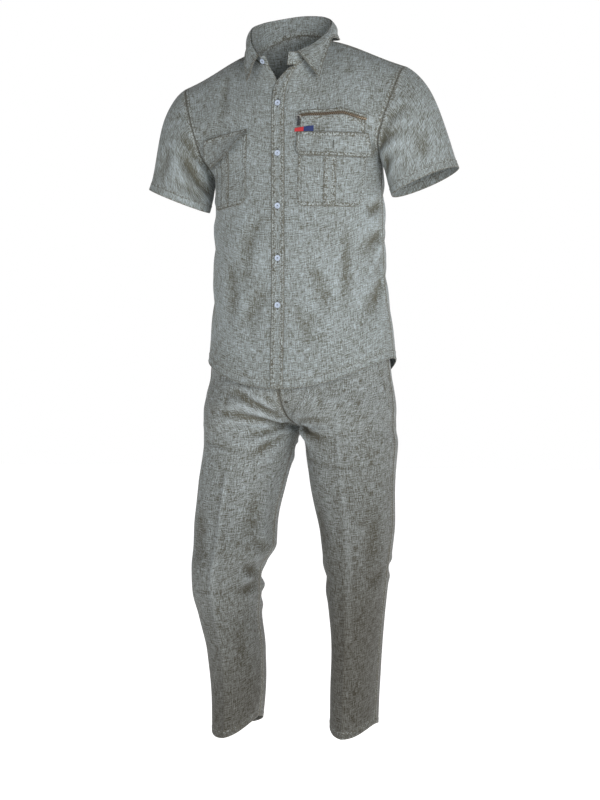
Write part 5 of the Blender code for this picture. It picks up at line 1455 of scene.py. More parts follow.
def zip_height(x: Array) -> Array:
    """Height of the middle of the zip's opening at each x."""
    return through(ZIP_LINE, np.ravel(x))[:, 0].reshape(np.shape(x))


def graded(length: float, step: float = 0.0032) -> Array:
    """Shares from 0 to 1 along a side of this length, fine near both ends and even between."""
    ends = np.array([value for value in EDGE_STEPS if value < 0.45 * length]) / length
    count = max(2, int((1 - 2 * ends[-1]) * length / step) + 1)
    middle = np.linspace(ends[-1], 1 - ends[-1], count + 1)
    return np.concatenate([ends[:-1], middle, 1 - ends[-2::-1]])


class Workroom:
    """Holds the finishes and the stitches, and attaches each piece to the suit."""

    def __init__(self) -> None:
        """Makes every finish once."""
        self.shirt_cloth = SHIRT_CLOTH.material()
        self.trouser_cloth = TROUSER_CLOTH.material()
        self.thread = THREAD.material()
        self.button = BUTTON_PLASTIC.material()
        self.teeth = ZIP_BRASS.material()
        self.steel = ZIP_STEEL.material()
        self.black = PULL_BLACK.material()
        self.tape = TAPE_BROWN.material()
        self.navy = LABEL_NAVY.material()
        self.red = LABEL_RED.material()
        self.shirt_stitches = Stitching()
        self.trouser_stitches = Stitching()

    def hand_over(self, piece: bpy.types.Object, slot: str, *nodes: str) -> None:
        """Puts a piece on the suit, in the place of its nodes."""
        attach(piece, "suit")
        if nodes:
            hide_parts(*nodes)
        LOG.info("%s: %d faces", piece.name, len(piece.data.polygons))

    def sew(self, shell: Shell, node: str, slot: str, held: str, *rests_on: str) -> bpy.types.Object:
        """Builds a shell and hands it over; the flat size that it works out is not used."""
        made = shell.build()
        self.hand_over(made, slot, node)
        width, length, area = shell.flat_size()
        width, length = max(round(width, 3), LEAST_CUT), max(round(length, 3), LEAST_CUT)
        area = min(area, 0.999 * width * length)
        return made


@dataclass
class PanelCut:
    """How a panel is laid out and finished at its edges.

    Attributes:
        name: the piece's name.
        across: the across values of its columns.
        up: the up values of its rows.
        sewn: which edges are sewn.
        hem: the edge that is turned up, or an empty word.
        hem_height: how far it is turned up.
        thick: the cloth's thickness.
    """

    name: str
    across: Array
    up: Array
    sewn: tuple[str, ...]
    hem: str = ""
    hem_height: float = 0.0
    thick: float = CLOTH_THICK

    def shell(self, cloth: Cloth, material: bpy.types.Material) -> Shell:
        """The panel's shell.

        The turned-up hem is thicker on both faces, and every rim is rounded by a third of the
        thickness.
        """
        across, up = np.meshgrid(self.across, self.up, indexing="ij")
        bare, normals, sunk = cloth.laid(across, up)
        outside = bare - normals * sunk[..., None]
        step = np.zeros(across.shape)
        band = smooth_step((0.0115 - edge_room(outside, self.sewn)) / 0.006)
        if self.hem:
            room = edge_room(outside, (self.hem,))
            step = HEM_LIFT * smooth_step((self.hem_height - room) / 0.0014)
            near_hem = smooth_step(1.2 - np.abs(room - self.hem_height) / 0.005)
            band = np.maximum(band, 0.8 * np.maximum(near_hem, smooth_step((0.005 - room) / 0.004)))
        room = edge_room(outside, ALL_EDGES)
        # Band above 1 marks the very rim, where the material paints a dark line of shade.
        band = band + smooth_step((EDGE_SHADE_WIDTH - room) / 0.0012)
        rim = 0.33 * smooth_step(1 - room / 0.0006)
        outer = outside + normals * (step - rim * self.thick)[..., None]
        inner = outside - normals * (self.thick + step - rim * self.thick)[..., None]
        # The crease depth goes out as fold, from which the material paints shade in creases.
        return Shell(self.name, outer, inner, band, material, sunk / FOLD_SHADE_DEPTH, normals)


class Shirt:
    """The shirt's body, sleeves and collar."""

    def __init__(self, room: Workroom) -> None:
        """Works out its surfaces once."""
        self.room = room
        self.fronts = {side: ShirtFront(side, SHIRT_FRONT_CREASES[side]) for side in Side}
        self.back = ShirtBack(SHIRT_BACK_CREASES, seed=17)
        self.sleeves = {
            Side.LEFT: Sleeve(Side.LEFT, (0.2735, -0.004, -0.3055), (0.0695, 0.0, 0.0285), 0.058,
                              (0.4, -0.02, -0.9), SLEEVE_CREASES[Side.LEFT]),
            Side.RIGHT: Sleeve(Side.RIGHT, (-0.263, -0.022, -0.3295), (-0.065, 0.0, 0.0265), 0.058,
                               (-0.34, -0.03, -0.93), SLEEVE_CREASES[Side.RIGHT]),
        }

    def build(self) -> None:
        """Every piece of cloth of the shirt, with its stitching."""
        for side in Side:
            self.build_front(side)
            self.build_sleeve(side)
        self.build_back()
        self.build_collar()

    def build_front(self, side: Side) -> None:
        """One front, double stitched at the shoulder and armhole, its hem turned up."""
        word = side.name.lower()
        cut = PanelCut(f"{word}_front_cloth", steps_with_edges(0.0008, 0.9992, 74, 0.003),
                       steps_with_edges(0.0, 0.9993, 200, 0.0012, (0.03,)), ("last", "high"), "low", SHIRT_HEM)
        shell = cut.shell(self.fronts[side], self.room.shirt_cloth)
        self.room.sew(shell, f"shirt_front_{word}", "shirt_cloth", "hung", "back_cloth")
        shoulder = int(np.searchsorted(cut.across, NECK_T + 0.01))
        armhole = int(np.searchsorted(cut.up, UNDERARM_V))
        stitches = self.room.shirt_stitches
        stitches.edge(shell, "high", STITCH_ROWS, slice(shoulder, None))
        stitches.edge(shell, "last", STITCH_ROWS, slice(armhole, -4))
        stitches.edge(shell, "last", STITCH_ROWS[:1], slice(armhole))
        stitches.edge(shell, "low", SHIRT_HEM_ROWS)

    def build_back(self) -> None:
        """The back in one piece."""
        cut = PanelCut("back_cloth", steps_with_edges(0.0004, 0.9996, 146, 0.0015),
                       steps_with_edges(0.0, 0.9993, 200, 0.0012, (0.03,)), ("first", "last", "high"), "low",
                       SHIRT_HEM)
        shell = cut.shell(self.back, self.room.shirt_cloth)
        self.room.sew(shell, "shirt_back", "shirt_cloth", "hung", "stand_cloth")
        armhole = int(np.searchsorted(cut.up, UNDERARM_V))
        shoulder = int(np.searchsorted(cut.across, 0.5 - NECK_T / 2 - 0.005))
        stitches = self.room.shirt_stitches
        for span in (slice(shoulder), slice(-shoulder, None)):
            stitches.edge(shell, "high", STITCH_ROWS, span)
        for edge in ("first", "last"):
            stitches.edge(shell, edge, STITCH_ROWS[:1], slice(armhole, None))
        stitches.edge(shell, "low", SHIRT_HEM_ROWS)

    def build_sleeve(self, side: Side) -> None:
        """A sleeve with its seam under the arm and its cuff turned up."""
        word = side.name.lower()
        cut = PanelCut(f"{word}_sleeve_cloth", steps_with_edges(0.0003, 0.9997, 132, 0.001),
                       steps_with_edges(0.003, 1.0, 66, 0.004, (0.925,)), ("low",), "high", SLEEVE_HEM)
        shell = cut.shell(self.sleeves[side], self.room.shirt_cloth)
        self.room.sew(shell, f"sleeve_{word}", "shirt_cloth", "hung", f"{word}_front_cloth", "back_cloth")
        self.room.shirt_stitches.edge(shell, "high", (SLEEVE_HEM - 0.0015,))

    def build_collar(self) -> None:
        """The stand and the fall, the fall double stitched along its free edges."""
        fall = CollarFall()
        stand = CollarStand(fall)
        room = self.room
        cut = PanelCut("fall_cloth", graded(0.62, 0.0042), graded(0.055), ("first", "last", "high"),
                       thick=COLLAR_WALL)
        shell = cut.shell(fall, room.shirt_cloth)
        room.sew(shell, "collar_fall", "shirt_cloth", "folded", "stand_cloth")
        for edge in ("high", "first", "last"):
            room.shirt_stitches.edge(shell, edge, STITCH_ROWS, slice(2, -2))
        cut = PanelCut("stand_cloth", graded(0.6, 0.0042), graded(0.035), ("low",), thick=0.0016)
        shell = cut.shell(stand, room.shirt_cloth)
        room.sew(shell, "collar_stand", "shirt_cloth", "folded", "back_cloth")
        room.shirt_stitches.edge(shell, "low", STITCH_ROWS[:1])
        place, axis = stand.line(np.array(0.975), np.array(0.5), 0.0012)
        Button("collar_button", "button_collar").build(room, place, axis)


@dataclass
class Button:
    """A dished four-hole button and the thread that holds it.

    Attributes:
        name: the piece's name.
        node: the node that it replaces.
    """

    name: str
    node: str
    sides: int = 40
    hole_ring: float = 0.00125
    hole: float = 0.00062

    def build(self, room: Workroom, place: Array, axis: Array) -> None:
        """Makes it with its back at place, facing along axis.

        The top's height is a rim, a dish and four pits, each a smooth step down within the
        hole's radius.
        """
        axis = unit(axis)
        side_way = unit(np.cross(axis, (0.0, 0.0, 1.0)))
        other_way = np.cross(axis, side_way)
        radii = np.concatenate([[0.72, 1.0, 0.97], np.linspace(0.9, 0.03, 24)]) * BUTTON_RADIUS
        heights = np.concatenate([[0.0, 0.0009, 0.0018], np.full(24, BUTTON_THICK)])
        share = radii[3:] / BUTTON_RADIUS
        heights[3:] -= 0.0007 * smooth_step((0.84 - share) / 0.2)
        angle = np.arange(self.sides) * 2 * math.pi / self.sides
        across = radii[:, None] * np.cos(angle)
        along_up = radii[:, None] * np.sin(angle)
        high = np.repeat(heights[:, None], self.sides, axis=1)
        spots = [(math.copysign(self.hole_ring, a) * 0.8, math.copysign(self.hole_ring, b) * 0.8)
                 for a in (-1, 1) for b in (-1, 1)]
        for hole_x, hole_y in spots:
            away = np.hypot(across - hole_x, along_up - hole_y)
            pit = smooth_step((self.hole + 0.00014 - away) / 0.00028) * 0.0011
            high[3:] -= pit[3:]
        ring = (place + across[..., None] * side_way + along_up[..., None] * other_way + high[..., None] * axis)
        vertices = np.concatenate([place[None], ring.reshape(-1, 3), (place + axis * heights[-1])[None]])
        j = np.arange(self.sides)
        k = (j + 1) % self.sides
        faces = [np.stack([0 * j, 1 + k, 1 + j], axis=-1)]
        for level in range(len(radii) - 1):
            a = 1 + level * self.sides
            b = a + self.sides
            faces.append(np.stack([a + j, a + k, b + k], axis=-1))
            faces.append(np.stack([a + j, b + k, b + j], axis=-1))
        last = 1 + (len(radii) - 1) * self.sides
        faces.append(np.stack([last + j, last + k, np.full(self.sides, len(vertices) - 1)], axis=-1))
        made = mesh_piece(self.name, vertices, np.concatenate(faces), room.button, sharp=60.0)
        room.hand_over(made, "button", self.node)
        pins = [place + a * side_way + b * other_way + axis * (BUTTON_THICK - 0.0008) for a, b in spots]
        ups = np.array([axis, axis])
        room.shirt_stitches.between(np.array([pins[0], pins[1]]), np.array([pins[3], pins[2]]), ups, 0.00042)


class FrontTrim:
    """What lies on the fronts: placket, pockets, pleats, flaps, zip, label and buttons."""

    def __init__(self, room: Workroom, shirt: Shirt) -> None:
        """Keeps the room and the fronts."""
        self.room = room
        self.fronts = shirt.fronts

    def build(self) -> None:
        """Every piece, from the cloth outwards."""
        self.build_placket()
        for side in Side:
            self.build_pocket(side)
            self.build_flap(side)
        self.build_zip()
        self.build_label()

    def patch(self, name: str, side: Side, x: Array, z: Array, low: Array | float, thick: float,
              material: bpy.types.Material, pucker: float = PUCKER,
              rows: tuple[float, ...] = STITCH_ROWS) -> Shell:
        """A piece of cloth over a front.

        Its outer face swells and dips by pucker within the sewn band, dips at each stitch row
        and rounds off at its rim.
        """
        front = self.fronts[side]
        bare, ways, sunk = front.laid(*front.locate(x, z))
        flat = bare + ways * (low - sunk)[..., None]
        room = edge_room(flat, ALL_EDGES)
        swell = pucker * smooth_step(room / 0.0015) * smooth_step((0.012 - room) / 0.005)
        lift = swell * ripple(flat, 0.0075, 5) * 2.4
        for away in rows:
            lift = lift - 0.00022 * np.exp(-(((room - away) / 0.0008) ** 2))
        rim = 0.45 * thick * (1 - smooth_step(room / 0.001)) ** 1.5
        outside = bare + ways * (low + thick + lift - rim - sunk)[..., None]
        # Band above 1 marks the very rim, where the material paints a dark line of shade.
        band = smooth_step((0.0115 - room) / 0.004) + smooth_step((EDGE_SHADE_WIDTH - room) / 0.0012)
        # The crease depth goes out as fold, from which the material paints shade in creases.
        return Shell(name, outside, flat, band, material, sunk / FOLD_SHADE_DEPTH)

    def stitch(self, side: Side, line: Array, lift: Array | float) -> None:
        """A row of stitches along a line of x and z laid over a front."""
        self.room.shirt_stitches.row(*self.fronts[side].over(line[:, 0], line[:, 1], lift))

    def stitch_round(self, side: Side, outline: Array, lift: float) -> None:
        """Two rows inside an outline of x, z and how far it stands off, which keeps the piece on its left
        on the wearer's left front, and the other way round on the right one."""
        line = spaced(outline if side is Side.LEFT else outline[::-1], 0.0015)
        for away in STITCH_ROWS:
            self.stitch(side, shifted(line[:, :2], away), lift + line[:, 2])

    def build_placket(self) -> None:
        """The strip down the left front with its buttons and buttonholes."""
        room = self.room
        z = np.linspace(PLACKET_BOTTOM, PLACKET_TOP, 249)
        shares = graded(PLACKET_WIDTH)[:, None] - 0.5
        middle = through(CENTRE_FRONT, z)[:, 0]
        x = middle[None] + shares * PLACKET_WIDTH
        shell = self.patch("placket_cloth", Side.LEFT, x, z + 0 * x, PLACKET_LIFT, PATCH_THICK,
                           room.shirt_cloth, pucker=PUCKER * 0.8, rows=(PLACKET_ROW,))
        room.sew(shell, "placket", "shirt_cloth", "laid", "left_front_cloth")
        top = PLACKET_LIFT + PATCH_THICK
        for away in (PLACKET_ROW - PLACKET_WIDTH / 2, PLACKET_WIDTH / 2 - PLACKET_ROW):
            self.stitch(Side.LEFT, np.stack([middle + away, z], axis=-1)[2:-2], top)
        for number, height in enumerate(SHIRT_BUTTON_Z, start=1):
            x = through(CENTRE_FRONT, np.array(height))[0]
            place, axis, way = self.fronts[Side.LEFT].upright(x, height, top)
            Button(f"front_button_{number}", f"button_{number}").build(room, place + axis * BUTTON_GAP, axis)
            room.shirt_stitches.buttonhole(place, axis, way)

    def build_pocket(self, side: Side) -> None:
        """The bag with rounded lower corners, and the pleat down its middle."""
        room = self.room
        cut = POCKETS[side]
        word = side.name.lower()
        across = graded(abs(cut.far - cut.near))[:, None]
        up = graded(abs(cut.top - cut.bottom))[None]
        x, z = self.bag_point(cut, across, up)
        shell = self.patch(f"{word}_pocket_cloth", side, x, z, PATCH_LIFT, PATCH_THICK, room.shirt_cloth)
        room.sew(shell, f"pocket_{word}", "shirt_cloth", "laid", f"{word}_front_cloth")
        down_line = np.linspace(1, 0, 80)
        low_line = np.linspace(0, 1, 60)
        path = np.concatenate([
            np.stack(self.bag_point(cut, 0 * down_line, down_line), axis=-1),
            np.stack(self.bag_point(cut, low_line, 0 * low_line), axis=-1)[1:],
            np.stack(self.bag_point(cut, 0 * down_line + 1, down_line[::-1]), axis=-1)[1:],
        ])
        self.stitch_round(side, np.pad(path, ((0, 0), (0, 1))), PATCH_LIFT + PATCH_THICK)
        start, end = cut.pleat
        x = start + (end - start) * graded(abs(end - start))[:, None] + 0 * low_line
        offset = cut.slope * np.abs(x - cut.near)
        low = cut.bottom + 0.0025 + offset
        high = cut.flap_near[1] - 0.006 + offset
        lift = PATCH_LIFT + PATCH_THICK + 0.0004
        shell = self.patch(f"{word}_pleat_cloth", side, x, low + (high - low) * low_line, lift, 0.0011,
                           room.shirt_cloth, rows=(0.003,))
        room.sew(shell, f"pocket_pleat_{word}", "shirt_cloth", "laid", f"{word}_pocket_cloth")
        for share in (0.13, 0.87):
            line_x = start + (end - start) * share
            line_z = np.linspace(cut.bottom + 0.004, cut.flap_near[1] - 0.006, 60)
            line_z = line_z + cut.slope * abs(line_x - cut.near)
            self.stitch(side, np.stack([0 * line_z + line_x, line_z], axis=-1), lift + 0.0011)

    def bag_point(self, cut: PocketCut, across: Array, up: Array) -> tuple[Array, Array]:
        """x and z on the bag, its lower corners lifted by a quarter circle."""
        width = abs(cut.far - cut.near)
        inside = np.clip(POCKET_CORNER - np.minimum(across, 1 - across) * width, 0, POCKET_CORNER)
        low = cut.bottom + POCKET_CORNER - np.sqrt(POCKET_CORNER**2 - inside**2)
        low = low + cut.slope * across * width
        if cut.near > 0:
            high = zip_height(cut.near + (cut.top_far - cut.near) * across) - ZIP_TAPE_WIDTH / 2 - 0.0003
        else:
            high = cut.top + cut.top_slope * across * width
        z = low + (high - low) * up
        far = cut.far + (cut.top_far - cut.far) * up
        return cut.near + (far - cut.near) * across + 0 * z, z

    def flap_point(self, cut: PocketCut, across: Array, down: Array) -> tuple[Array, Array, Array]:
        """x, z and how far the flap stands off, from its seam down to its lower edge."""
        found = through(np.array(cut.flap_table), across)
        x = cut.flap_near[0] + (cut.flap_far[0] - cut.flap_near[0]) * across + 0 * down
        seam = cut.flap_near[1] + (cut.flap_far[1] - cut.flap_near[1]) * across
        return x, seam - found[..., 0] * down, found[..., 1] * down**1.5

    def build_flap(self, side: Side) -> None:
        """The flap, its lower corners rounded; the left one has a buttonhole up its middle."""
        room = self.room
        cut = POCKETS[side]
        word = side.name.lower()
        across = graded(abs(cut.flap_far[0] - cut.flap_near[0]))[:, None]
        down = graded(0.049)[None]
        x, z, stand = self.flap_point(cut, across + 0 * down, down + 0 * across)
        base = PATCH_LIFT + PATCH_THICK + 0.0018
        shell = self.patch(f"{word}_flap_cloth", side, x, z, base + stand, FLAP_THICK, room.shirt_cloth)
        room.sew(shell, f"pocket_flap_{word}", "shirt_cloth", "laid", f"{word}_front_cloth")
        side_line = np.linspace(0, 1, 50)
        parts = [self.flap_point(cut, 0 * side_line, side_line),
                 self.flap_point(cut, side_line, 0 * side_line + 1),
                 self.flap_point(cut, 0 * side_line + 1, side_line[::-1])]
        path = np.concatenate([np.stack(part, axis=-1) for part in parts])
        path = path[np.append(True, np.linalg.norm(np.diff(path[:, :2], axis=0), axis=-1) > 1e-6)]
        self.stitch_round(side, path, base + FLAP_THICK)
        top = np.stack(self.flap_point(cut, np.linspace(0.02, 0.98, 60), np.full(60, 0.0)), axis=-1)
        for away in STITCH_ROWS:
            self.stitch(side, top[:, :2] - (0.0, away), base + FLAP_THICK)
        if side is Side.LEFT:
            x, z, stand = self.flap_point(cut, np.array(0.53), np.array(0.56))
            room.shirt_stitches.buttonhole(*self.fronts[side].upright(x, z, base + stand + FLAP_THICK))

    def build_zip(self) -> None:
        """The tape, its teeth and the welt over it."""
        room = self.room
        first, last = ZIP_LINE[0, 0], ZIP_LINE[-1, 0]
        x = first + (last - first) * graded(last - first)[:, None]
        middle = zip_height(x)
        rows = graded(ZIP_TAPE_WIDTH)[None] - 0.5
        shell = self.patch("zip_tape_cloth", Side.LEFT, x + 0 * rows, middle + ZIP_TAPE_WIDTH * rows, 0.0002,
                           0.0009, room.tape, pucker=0.0001, rows=())
        room.sew(shell, "zip_tape", "zip_tape", "laid", "left_front_cloth")
        rows = graded(LIP_WIDTH)[None]
        low = middle + ZIP_TAPE_WIDTH / 2 + 0.0001
        shell = self.patch("zip_lip_cloth", Side.LEFT, x + 0 * rows, low + LIP_WIDTH * rows, 0.0004, 0.002,
                           room.shirt_cloth, rows=(0.0018,))
        room.sew(shell, "zip_lip", "shirt_cloth", "laid", "left_front_cloth")
        x = np.linspace(first + 0.001, last - 0.001, 60)
        self.stitch(Side.LEFT, np.stack([x, zip_height(x) + ZIP_TAPE_WIDTH / 2 + 0.005], axis=-1), 0.0024)
        self.build_teeth()

    def build_teeth(self) -> None:
        """Small metal teeth that mesh along the zip's line, each a block of twelve triangles."""
        front = self.fronts[Side.LEFT]
        first, last = ZIP_LINE[0, 0], ZIP_LINE[-1, 0]
        count = int((last - first) / TOOTH_PITCH)
        x = first + (last - first) * (np.arange(count) + 0.5) / count
        z = zip_height(x)
        offset = np.where(np.arange(count) % 2 == 0, 0.0006, -0.0006)
        middle = front.over(x, z + offset, 0.0015)[0]
        up = front.over(x, z, 0.0)[1]
        way = unit(front.over(x + 0.002, z, 0.0)[0] - front.over(x - 0.002, z, 0.0)[0])
        side = np.cross(up, way)
        corners = [middle + way * 0.0006 * a * (1 - 0.25 * (c > 0)) + side * 0.00125 * b + up * 0.00045 * c
                   for c in (-1, 1) for a, b in ((-1, -1), (1, -1), (1, 1), (-1, 1))]
        vertices = np.stack(corners, axis=1)
        walls = []
        for k in range(4):
            after = (k + 1) % 4
            walls.extend([(k, after, 4 + after), (k, 4 + after, 4 + k)])
        template = np.array([(0, 3, 2), (0, 2, 1), (4, 5, 6), (4, 6, 7), *walls])
        faces = (template[None] + (np.arange(count) * 8)[:, None, None]).reshape(-1, 3)
        made = mesh_piece("zip_teeth", vertices.reshape(-1, 3), faces, self.room.teeth, sharp=30.0)
        self.room.hand_over(made, "zip_metal")

    def build_label(self) -> None:
        """A plain woven label, its near end red and the rest navy."""
        room = self.room
        shares = graded(LABEL_FAR[0] - LABEL_NEAR[0], 0.0015)[:, None]
        rows = graded(LABEL_FAR[2] - LABEL_FAR[1], 0.0012)[None]
        x, low, high = (near + (far - near) * shares for near, far in zip(LABEL_NEAR, LABEL_FAR))
        x, z = x + 0 * rows, low + (high - low) * rows
        shell = self.patch("label_cloth", Side.LEFT, x, z, PATCH_LIFT + PATCH_THICK + 0.0012, 0.0005, room.navy,
                           pucker=0.00006, rows=())
        made = room.sew(shell, "label", "label_cloth", "laid", "left_pocket_cloth")
        made.data.materials.append(room.red)
        split = LABEL_NEAR[0] + (LABEL_FAR[0] - LABEL_NEAR[0]) * LABEL_RED_SHARE
        middles = np.empty(len(made.data.polygons) * 3, np.float32)
        made.data.polygons.foreach_get("center", middles)
        made.data.polygons.foreach_set("material_index", (middles[::3] < split).astype(np.int32))


class Trousers:
    """The four panels, the waistband and the slanted pocket edges."""

    def __init__(self, room: Workroom) -> None:
        """Works out its surfaces once."""
        self.room = room
        self.panels = {(side, face): TrouserPanel(side, face, TROUSER_CREASES[side, face])
                       for side in Side for face in Face}

    def build(self) -> None:
        """Every piece of the trousers."""
        for side in Side:
            for face in Face:
                self.build_panel(side, face)
            self.build_hip_pocket(side)
        self.build_waistband()
        self.stitch_fly()

    def build_panel(self, side: Side, face: Face) -> None:
        """One panel, its hem turned up and its side seam stitched."""
        word, which = side.name.lower(), face.name.lower()
        cut = PanelCut(f"{word}_{which}_leg_cloth", steps_with_edges(0.0009, 0.9991, 62, 0.004),
                       steps_with_edges(HEM_Z, PANEL_TOP_Z, 236, 0.0007, (HEM_Z + TROUSER_HEM,)),
                       ("first", "last"), "low", TROUSER_HEM)
        cut.up = np.sort(np.concatenate([cut.up[np.abs(cut.up - CROTCH_Z) > 0.0012], [CROTCH_Z]]))
        shell = cut.shell(self.panels[side, face], self.room.trouser_cloth)
        self.room.sew(shell, f"trouser_{which}_{word}", "trouser_cloth", "hung", "waistband_cloth")
        crotch = int(np.searchsorted(cut.up, CROTCH_Z + 0.006))
        stitches = self.room.trouser_stitches
        stitches.edge(shell, "low", (TROUSER_HEM - 0.0015,))
        stitches.edge(shell, "last", STITCH_ROWS if face is Face.FRONT else STITCH_ROWS[:1])
        stitches.edge(shell, "first", STITCH_ROWS[:1], slice(crotch, None))

    def build_waistband(self) -> None:
        """The waistband from the left of the fly round the back to the right, and its button."""
        room = self.room
        z = WAISTBAND_BOTTOM + (WAISTBAND_TOP - WAISTBAND_BOTTOM) * graded(0.04)[None]
        t = np.linspace(0, 1, 40)[:, None]
        columns = [
            trouser_point(Side.LEFT, Face.FRONT, t, z),
            trouser_point(Side.LEFT, Face.BACK, t[::-1], z)[1:],
            trouser_point(Side.RIGHT, Face.BACK, t, z)[1:],
            trouser_point(Side.RIGHT, Face.FRONT, t[::-1], z)[1:],
        ]
        grid = np.concatenate(columns)
        grid[0] += (0.0004, 0, 0)
        grid[-1] -= (0.0004, 0, 0)
        normals = facing_of(grid)
        normals = normals * np.sign((normals[..., :2] * grid[..., :2]).sum())
        rim = 0.33 * (1 - smooth_step(edge_room(grid, ("low", "high")) / 0.0008))[..., None] * 0.002
        band = smooth_step((0.01 - edge_room(grid, ("low", "high"))) / 0.005)
        shell = Shell("waistband_cloth", grid - normals * rim, grid - normals * (0.002 - rim), band,
                      room.trouser_cloth, normals=normals)
        room.sew(shell, "waistband", "trouser_cloth", "folded", "back_cloth")
        for edge in ("low", "high"):
            room.trouser_stitches.edge(shell, edge, STITCH_ROWS[:1])
        place = grid[0, len(z[0]) // 2] + np.array((0.01, -0.0004, 0.0))
        Button("waist_button", "button_waist").build(room, place, np.array((0.0, -1.0, 0.0)))

    def build_hip_pocket(self, side: Side) -> None:
        """The turned edge of a slanted hip pocket."""
        room = self.room
        word = side.name.lower()
        share = np.linspace(0, 1, 70)[:, None]
        away = graded(0.009, 0.0015)[None]
        (low_t, low_z), (high_t, high_z) = HIP_POCKET_LOW, HIP_POCKET_HIGH
        t = low_t + (high_t - low_t) * share
        z = low_z + (high_z - low_z) * share + 0 * away
        panel = self.panels[side, Face.FRONT]
        bare, ways, sunk = panel.laid(t - HIP_POCKET_SPAN * away, z)
        flat = bare + ways * (0.0002 - sunk)[..., None]
        edge = edge_room(flat, ALL_EDGES)
        rim = 0.0005 * (1 - smooth_step(edge / 0.001))
        outside = bare + ways * (0.0013 - rim - sunk)[..., None]
        shell = Shell(f"{word}_hip_pocket_cloth", outside, flat, smooth_step((0.01 - edge) / 0.006),
                      room.trouser_cloth)
        room.sew(shell, f"hip_pocket_{word}", "trouser_cloth", "laid", f"{word}_front_leg_cloth")
        for part in (0.2, 0.85):
            room.trouser_stitches.row(*panel.line(t[:, 0] - HIP_POCKET_SPAN * part, z[:, 0], 0.0013))

    def stitch_fly(self) -> None:
        """The fly's curved double row and the bar across its foot."""
        panel = self.panels[Side.LEFT, Face.FRONT]
        down = np.linspace(0, 1, 80)
        z = FLY_TOP + (FLY_FOOT - FLY_TOP) * down
        for wide in (0.185, 0.215):
            t = wide * np.sqrt(np.clip(1 - smooth_step((down - 0.55) / 0.47) ** 1.3, 0, 1)) + 0.012
            self.room.trouser_stitches.row(*panel.line(t, z))
        t = np.linspace(0.03, 0.058, 14)
        low, ups = panel.line(t, np.full(14, -0.7555))
        self.room.trouser_stitches.between(low, panel.at(t, np.full(14, -0.751)), ups, STITCH_RADIUS)


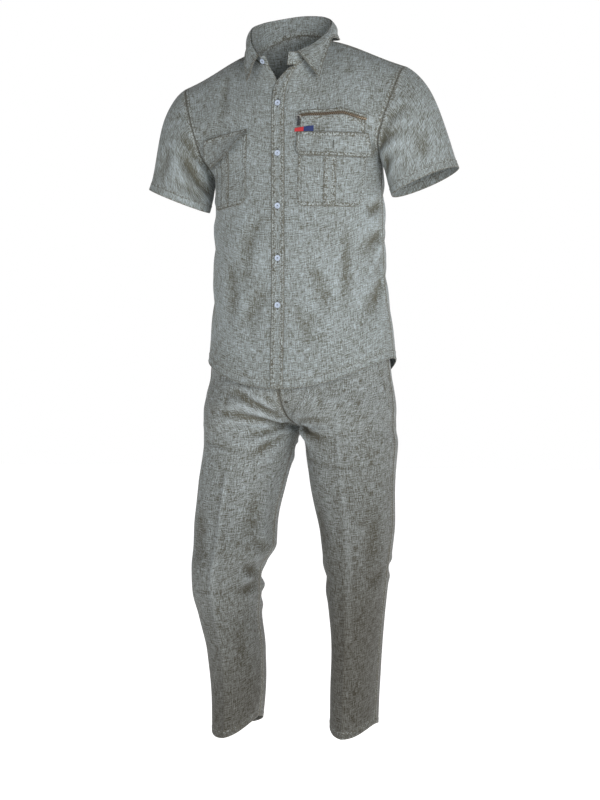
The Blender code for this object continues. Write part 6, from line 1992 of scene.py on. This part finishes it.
@dataclass
class Studio:
    """Camera, floor and light.

    Attributes:
        azimuth: degrees that the camera stands to the viewer's right of straight ahead.
        distance: metres from the suit's upright axis.
        height: of the lens.
        lens: focal length in millimetres.
        floor: height of the floor.
    """

    azimuth: float = 20.0
    distance: float = 4.5
    height: float = -0.749
    lens: float = 97.36
    floor: float = -1.56
    lights: tuple[tuple[str, tuple[float, float, float], float, float], ...] = field(default=(
        ("key", (2.5, -2.6, 0.1), 1.5, 88.0),
        ("fill", (-2.2, -2.8, 0.2), 2.4, 16.0),
        ("rim", (1.2, 2.8, 1.6), 2.0, 14.0),
    ))

    def build(self) -> None:
        """Sets the scene's camera, floor, world and lights."""
        turn = math.radians(self.azimuth)
        lens = bpy.data.cameras.new("camera")
        lens.lens = self.lens
        lens.sensor_width = 36.0
        lens.clip_end = 60.0
        camera = bpy.data.objects.new("camera", lens)
        camera.location = (self.distance * math.sin(turn), -self.distance * math.cos(turn), self.height)
        camera.rotation_euler = (math.pi / 2, 0.0, turn)
        bpy.context.scene.collection.objects.link(camera)
        bpy.context.scene.camera = camera
        self.build_floor()
        self.build_world()
        for name, place, size, power in self.lights:
            light = bpy.data.lights.new(name, "AREA")
            light.size = size
            light.energy = power
            made = bpy.data.objects.new(name, light)
            made.location = place
            aim = np.array((0.0, 0.0, -0.7)) - np.array(place)
            made.rotation_euler = (math.pi / 2 + math.atan2(aim[2], math.hypot(aim[0], aim[1])), 0.0,
                                   math.atan2(aim[1], aim[0]) - math.pi / 2)
            bpy.context.scene.collection.objects.link(made)

    def build_floor(self) -> None:
        """A pale matt floor, 40 m each way."""
        half = 20.0
        corners = np.array([(-half, -half, self.floor), (half, -half, self.floor), (half, half, self.floor),
                            (-half, half, self.floor)])
        finish = PlainFinish("floor_paint", (0.9, 0.9, 0.9), 0.9, uneven=0.0, glow=0.9)
        mesh_piece("floor", corners, np.array([[0, 1, 2, 3]]), finish.material())

    def build_world(self) -> None:
        """A white surround, dimmer in front of the suit, overhead and on the viewer's left.

        Its strength is a product of three ramps of the direction's dot product with the way the
        camera looks, with the camera's left and with straight up.
        """
        world = bpy.data.worlds.new("surround")
        world.use_nodes = True
        recipe = Recipe(world.node_tree)
        way = recipe.add("ShaderNodeTexCoord", {}).outputs["Generated"]
        turn = math.radians(self.azimuth)
        total: object = 1.0
        for vector, ramp in (
            ((-math.sin(turn), math.cos(turn), 0.0), (-0.3, 0.7, 0.55, 1.0)),
            ((-math.cos(turn), -math.sin(turn), 0.0), (0.2, 0.9, 1.0, 0.6)),
            ((0.0, 0.0, 1.0), (0.2, 0.85, 1.0, 0.1)),
        ):
            dot = recipe.add("ShaderNodeVectorMath", {0: way, 1: vector}, operation="DOT_PRODUCT")
            total = recipe.math("MULTIPLY", total, recipe.remap(dot.outputs["Value"], *ramp))
        recipe.put(world.node_tree.nodes["Background"], {"Color": (1.0, 1.0, 1.0, 1.0), "Strength": total})
        bpy.context.scene.world = world
        bpy.context.scene.view_settings.view_transform = "Standard"


def finish_metal(room: Workroom) -> None:
    """Gives the slider and the pull, which keep their own form, their metal and lacquer."""
    for node, material in (("zip_slider", room.steel), ("zip_pull", room.black)):
        mesh = bpy.data.objects[node].data
        for index in range(len(mesh.materials)):
            mesh.materials[index] = material


def main() -> None:
    """Builds the suit's parts in order and reports each."""
    logging.basicConfig(level=logging.INFO, format="%(name)s: %(message)s")
    room = Workroom()
    shirt = Shirt(room)
    shirt.build()
    FrontTrim(room, shirt).build()
    Trousers(room).build()
    room.hand_over(room.shirt_stitches.piece("stitching_shirt", room.thread), "shirt_cloth")
    room.hand_over(room.trouser_stitches.piece("stitching_trousers", room.thread), "trouser_cloth")
    finish_metal(room)
    Studio().build()


if __name__ == "__main__":
    main()
